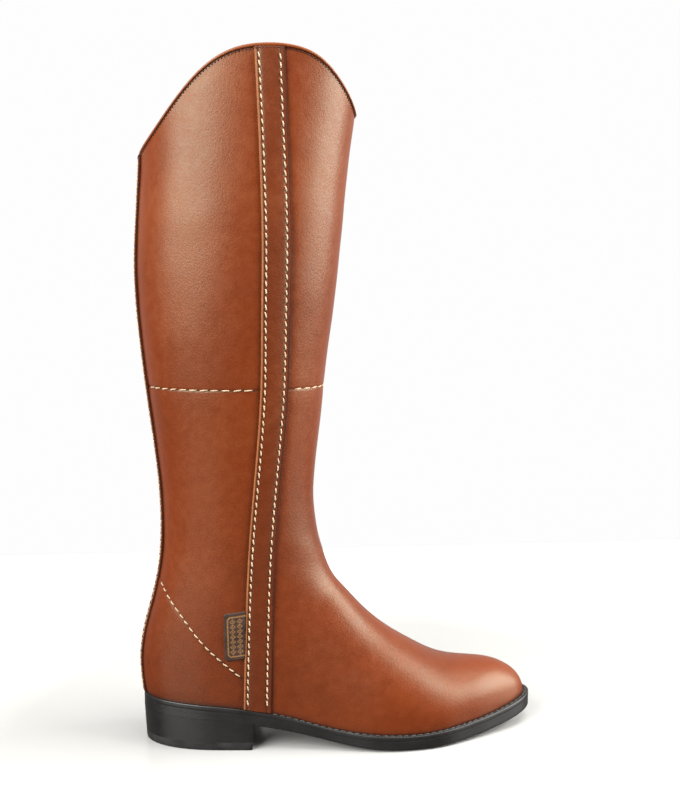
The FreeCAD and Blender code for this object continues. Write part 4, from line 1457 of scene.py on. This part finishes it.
def tab_material():
    n = Nodes("tab_skin")
    broad = n.noise(90, 3, 0.6)
    fine = n.noise(900, 4, 0.6)
    worn = n.noise(1300, 3, 0.6)
    leather_colour = n.ramp(broad, [(0.3, (0.034, 0.018, 0.014)), (0.7, (0.068, 0.034, 0.025))])
    gold = n.ramp(fine, [(0.3, (0.23, 0.105, 0.026)), (0.7, (0.42, 0.215, 0.062))])
    gilt = n.math("MULTIPLY", n.attribute("gilt"), n.remap(worn, 0.32, 0.5, 0.45, 1.0))
    colour = n.mix(gilt, leather_colour, gold)
    return n.finish(colour, n.remap(broad, 0.3, 0.7, 0.34, 0.5), n.bump(fine, 0.3, 0.00015))


def side_tab():
    rows, columns = 170, 74
    middle, half = (TAB_HIGH + TAB_LOW) / 2, (TAB_HIGH - TAB_LOW) / 2
    v = np.linspace(TAB_LOW, TAB_HIGH, rows)[:, None]
    t = np.linspace(0, 1, columns)[None, :]
    off = np.maximum(np.abs(v - middle) - (half - 2.2), 0)
    cut = 2.2 - np.sqrt(np.maximum(2.2 ** 2 - off ** 2, 0))
    front = seam_x(v) - strap_half_width(v) - 0.05
    back = front - TAB_W + cut - 0.05 * (v - middle)
    x = back + (front - back) * t
    z = v + 0.14 * (x - front)
    across = x - front + TAB_W + 0.05 * (v - middle)
    height, gilt = tab_relief(across, v - middle + 0 * t)
    rim = np.minimum(x - back, half - np.abs(v - middle))
    rounding = -0.38 * np.maximum(0, 1 - rim / 0.5) ** 2
    pillow = 0.12 * np.clip(rim / 4, 0, 1)
    outer = surface(x, z, OUTER, GAP + 1.0 + height + rounding + pillow)
    inner = surface(x, z, OUTER, -0.25)
    piece = thick_sheet("side_tab_skin", outer, inner, sharp=60)
    px, _, pz = point_places(piece)
    front_there = seam_x(pz) - strap_half_width(pz) - 0.05
    level = pz - 0.14 * (px - front_there)
    _, values = tab_relief(px - front_there + TAB_W + 0.05 * (level - middle), level - middle)
    store(piece, "gilt", values)
    dress(piece, "side_tab", "tab_leather", tab_material())


side_tab()


# ---------------------------------------------------------------- pull loops and their patches
LOOP_X, LOOP_W, LOOP_L, WEB_T, HINGE_Z = -58.0, 24.0, 62.0, 1.3, 437.0
HINGE_Y = {OUTER: -39.38, INNER: 39.34}
EYE, BULGE, LEAN = 1.9, 3.0, 1.4


def web_material():
    """Twilled cotton webbing."""
    n = Nodes("webbing_skin")
    ribs = n.wave(420, "X", 0.3)
    picks = n.wave(560, "Z", 0.4)
    twill = n.wave(330, "DIAGONAL", 0.5)
    woven = n.math("ADD", n.math("MULTIPLY", ribs, 0.4), n.math("MULTIPLY", twill, 0.6))
    woven = n.math("MULTIPLY", woven, n.remap(picks, 0, 1, 0.6, 1.0))
    fibres = n.noise(1500, 4, 0.7)
    colour = n.ramp(n.math("ADD", n.math("MULTIPLY", woven, 0.6), n.math("MULTIPLY", fibres, 0.4)),
                    [(0.2, (0.075, 0.032, 0.016)), (0.8, (0.235, 0.110, 0.055))])
    normal = n.bump(woven, 0.7, 0.0003)
    return n.finish(colour, n.remap(fibres, 0.3, 0.7, 0.7, 0.9), n.bump(fibres, 0.3, 0.0001, normal), sheen_weight=0.3)


web_skin = web_material()


def loop_path(count=160):
    """Middle line of the folded webbing in (y, z): a narrow teardrop that leans away from the leg."""
    top_r, low_r = EYE - WEB_T / 2, BULGE - WEB_T / 2
    parts = []
    a = np.linspace(0, math.pi, 30)
    parts.append(np.column_stack([top_r * np.cos(a), top_r * np.sin(a)]))
    down = np.linspace(0, 1, 50)[1:-1, None]
    bottom_left = np.array([-LEAN - low_r, -LOOP_L])
    bottom_right = np.array([-LEAN + low_r, -LOOP_L])
    parts.append(np.array([-top_r, 0.0]) * (1 - down) + bottom_left * down)
    a = np.linspace(math.pi, 2 * math.pi, 36)
    parts.append(np.column_stack([-LEAN + low_r * np.cos(a), -LOOP_L + low_r * np.sin(a)]))
    parts.append(bottom_right * (1 - down) + np.array([top_r, 0.0]) * down)
    path = np.concatenate(parts)
    closed = np.concatenate([path, path[:1]])
    lengths = run_lengths(closed)
    return interpolated(np.linspace(0, lengths[-1], count + 1)[:-1], lengths, closed)


def pull_loop(side, name, body):
    path = loop_path()
    forward = np.roll(path, -1, axis=0) - np.roll(path, 1, axis=0)
    out = unit(np.column_stack([forward[:, 1], -forward[:, 0]]))
    half, thick = LOOP_W / 2 - 0.25, WEB_T / 2 - 0.08
    across = np.linspace(-1, 1, 25)
    ribbed = 0.05 * np.cos(across * 9 * math.pi)
    top = np.column_stack([across * half, thick * np.sqrt(np.maximum(1 - np.abs(across) ** 14, 0.03))
                           + ribbed * (np.abs(across) < 0.9)])
    low = top[::-1] * np.array([1, -1])
    section = np.concatenate([top, low])
    rng = np.random.default_rng(41 if side == OUTER else 42)
    phase = rng.uniform(0, 6, 3)
    s = np.linspace(0, 2 * math.pi, len(path), endpoint=False)
    sway = 0.14 * np.sin(2 * s + phase[0]) + 0.08 * np.sin(5 * s + phase[1])
    grid = np.empty((len(path), len(section), 3))
    grid[..., 0] = LOOP_X + section[None, :, 0] + sway[:, None]
    flat = path[:, None, :] + out[:, None, :] * section[None, :, 1, None]
    grid[..., 1] = (abs(HINGE_Y[side]) + flat[..., 0]) * side
    grid[..., 2] = HINGE_Z + flat[..., 1]
    piece = swept(name, grid, closed_path=True, body=body, sharp=60)
    dress(piece, name.replace("_skin", ""), "webbing", web_skin)


pull_loop(OUTER, "outer_pull_loop_skin", "outer_loop")
pull_loop(INNER, "inner_pull_loop_skin", "inner_loop")

PATCH_LIFT = -LEATHER_T - 2 * GAP - LINING_T


def loop_patch(side, name):
    x0, x1 = LOOP_X - LOOP_W / 2 - 3, LOOP_X + LOOP_W / 2 + 3
    z0, z1 = HINGE_Z - 1.5, HINGE_Z + 14.0
    x = np.linspace(x0, x1, 64)[None, :]
    z = np.linspace(z0, z1, 36)[:, None]
    rim = np.minimum(np.minimum(x - x0, x1 - x), np.minimum(z - z0, z1 - z))
    sewn = 0.22 * np.exp(-((rim - 1.8) / 0.5) ** 2)
    rounding = 0.3 * np.maximum(0, 1 - rim / 0.5) ** 2
    outer = surface(x, z, side, PATCH_LIFT + 0.02)
    inner = surface(x, z, side, PATCH_LIFT - 0.8 + sewn + rounding)
    piece = thick_sheet(name + "_skin", outer, inner, sharp=60)
    dress(piece, name, "facing_leather", facing_skin)
    paint(piece, lambda px, py, pz: 0.42 + 0 * px)
    corners = np.array([(x0 + 1.8, z0 + 1.8), (x1 - 1.8, z0 + 1.8), (x1 - 1.8, z1 - 1.8), (x0 + 1.8, z1 - 1.8),
                        (x0 + 1.8, z0 + 1.8)])
    line = resample(np.column_stack([corners, np.zeros(5)]), 0.5)
    base = surface(line[:, 0], line[:, 1], side, PATCH_LIFT - 0.62)
    raised = surface(line[:, 0], line[:, 1], side, PATCH_LIFT - 1.62)
    return SewLine(base, raised)


patch_lines = [loop_patch(OUTER, "outer_loop_patch"), loop_patch(INNER, "inner_loop_patch")]
stitches("patch_stitches", patch_lines, 2.6, 1.9, 0.6, 0.45, material=brown_thread, seed=31)


# ---------------------------------------------------------------- pieces that stay hidden inside
def hidden_material(name, dark, light, scale, rough, metallic=0.0):
    n = Nodes(name)
    grain = n.noise(scale, 4, 0.6)
    return n.finish(n.ramp(grain, [(0.3, dark), (0.7, light)]), n.remap(grain, 0.3, 0.7, rough - 0.08, rough + 0.08),
                    n.bump(grain, 0.3, 0.0002), metallic=metallic)


stiffener_skin = hidden_material("stiffener_skin", (0.30, 0.22, 0.13), (0.48, 0.36, 0.22), 300, 0.7)
cork_skin = hidden_material("cork_skin", (0.20, 0.11, 0.05), (0.48, 0.30, 0.15), 240, 0.8)
canvas_skin = hidden_material("canvas_skin", (0.45, 0.38, 0.26), (0.66, 0.58, 0.42), 900, 0.85)
steel_skin = hidden_material("steel_skin", (0.30, 0.30, 0.31), (0.50, 0.50, 0.52), 500, 0.35, 1.0)
board_skin = hidden_material("insole_skin", (0.30, 0.19, 0.10), (0.46, 0.31, 0.18), 400, 0.7)
HIDDEN = {"heel_counter": stiffener_skin, "toe_puff": stiffener_skin, "cork_filler": cork_skin,
          "insole_rib": canvas_skin, "shank": steel_skin, "heel_nails": steel_skin, "insole": board_skin}
for piece in list(bpy.data.objects):
    for node, skin in HIDDEN.items():
        if piece.type == "MESH" and piece.name.split(".")[0] == node:
            piece.data.materials.clear()
            piece.data.materials.append(skin)


# ---------------------------------------------------------------- tip the boot on to its heel
pivot = Matrix.Translation((PIVOT_X * MM, 0, 0))
tip = pivot @ Matrix.Rotation(TILT, 4, "Y") @ pivot.inverted()
for piece in drawn_pieces:
    piece.data.transform(tip)


# ---------------------------------------------------------------- studio
def floor_material():
    """Pale glossy floor. It sends less light back to the boot than the camera sees, as a small lit floor does."""
    n = Nodes("studio_floor")
    spots = n.noise(3, 2, 0.5)
    seen = n.add("ShaderNodeLightPath").outputs["Is Camera Ray"]
    far = n.add("ShaderNodeVectorMath", operation="LENGTH")
    n.link(n.object, far.inputs[0])
    reach = n.remap(far.outputs["Value"], 0.24, 0.46, 0.0, 1.0)
    pale = n.ramp(spots, [(0.3, (0.55, 0.555, 0.55)), (0.7, (0.57, 0.57, 0.57))])
    pale = n.mix(reach, pale, (0.97, 0.97, 0.97))
    dim = n.ramp(spots, [(0.3, (0.055, 0.055, 0.055)), (0.7, (0.06, 0.06, 0.06))])
    return n.finish(n.mix(seen, dim, pale), None, None, roughness=0.22)


def studio_world():
    world = bpy.data.worlds.new("studio")
    bpy.context.scene.world = world
    world.use_nodes = True
    tree = world.node_tree
    light = tree.nodes["Background"]
    light.inputs["Color"].default_value = (1.0, 0.97, 0.92, 1)
    where = tree.nodes.new("ShaderNodeTexCoord")
    split = tree.nodes.new("ShaderNodeSeparateXYZ")
    behind = tree.nodes.new("ShaderNodeMapRange")
    for key, value in (("From Min", 0.05), ("From Max", 0.75), ("To Min", 0.09), ("To Max", 0.75)):
        behind.inputs[key].default_value = value
    tree.links.new(where.outputs["Generated"], split.inputs["Vector"])
    tree.links.new(split.outputs["Y"], behind.inputs["Value"])
    tree.links.new(behind.outputs["Result"], light.inputs["Strength"])
    backdrop = tree.nodes.new("ShaderNodeBackground")
    backdrop.inputs["Color"].default_value = (0.985, 0.985, 0.985, 1)
    backdrop.inputs["Strength"].default_value = 1.0
    seen = tree.nodes.new("ShaderNodeLightPath")
    choose = tree.nodes.new("ShaderNodeMixShader")
    tree.links.new(seen.outputs["Is Camera Ray"], choose.inputs["Fac"])
    tree.links.new(light.outputs["Background"], choose.inputs[1])
    tree.links.new(backdrop.outputs["Background"], choose.inputs[2])
    tree.links.new(choose.outputs["Shader"], tree.nodes["World Output"].inputs["Surface"])


def studio():
    mesh = bpy.data.meshes.new("studio_floor")
    mesh.from_pydata([(-0.62, -0.62, 0), (0.62, -0.62, 0), (0.62, 0.52, 0), (-0.62, 0.52, 0)], [], [(0, 1, 2, 3)])
    floor = bpy.data.objects.new("studio_floor", mesh)
    bpy.context.scene.collection.objects.link(floor)
    mesh.materials.append(floor_material())
    floor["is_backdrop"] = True
    studio_world()
    bpy.context.scene.view_settings.view_transform = "Standard"


SOFTBOX_COLOUR = (1.0, 0.99, 0.955)


def area_light(name, place, target, size, power):
    lamp = bpy.data.lights.new(name, "AREA")
    lamp.shape = "RECTANGLE"
    lamp.size, lamp.size_y = size
    lamp.energy = power
    lamp.color = SOFTBOX_COLOUR
    holder = bpy.data.objects.new(name, lamp)
    holder.location = place
    direction = Vector(target) - Vector(place)
    holder.rotation_euler = direction.to_track_quat("-Z", "Y").to_euler()
    bpy.context.scene.collection.objects.link(holder)


CAMERA_PLACE = (0.003, -0.740, 0.325)
CAMERA_DIP = 0.113       # how far it looks down, in radians


def camera():
    lens = bpy.data.cameras.new("camera")
    lens.lens = 47.3
    lens.sensor_width = 36
    lens.sensor_fit = "AUTO"
    holder = bpy.data.objects.new("camera", lens)
    look = Matrix.Rotation(math.pi / 2 - CAMERA_DIP, 4, "X")
    holder.matrix_world = tip @ Matrix.Translation(CAMERA_PLACE) @ look
    bpy.context.scene.collection.objects.link(holder)
    bpy.context.scene.camera = holder


studio()
area_light("left_softbox", (-1.20, -1.20, 1.15), (0, 0, 0.30), (1.5, 1.6), 76)
area_light("right_softbox", (1.60, -0.20, 0.80), (0, 0, 0.38), (1.3, 1.3), 62)
area_light("top_softbox", (0.50, -0.15, 1.60), (0.05, 0, 0.1), (1.2, 0.9), 18)
camera()

low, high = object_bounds()
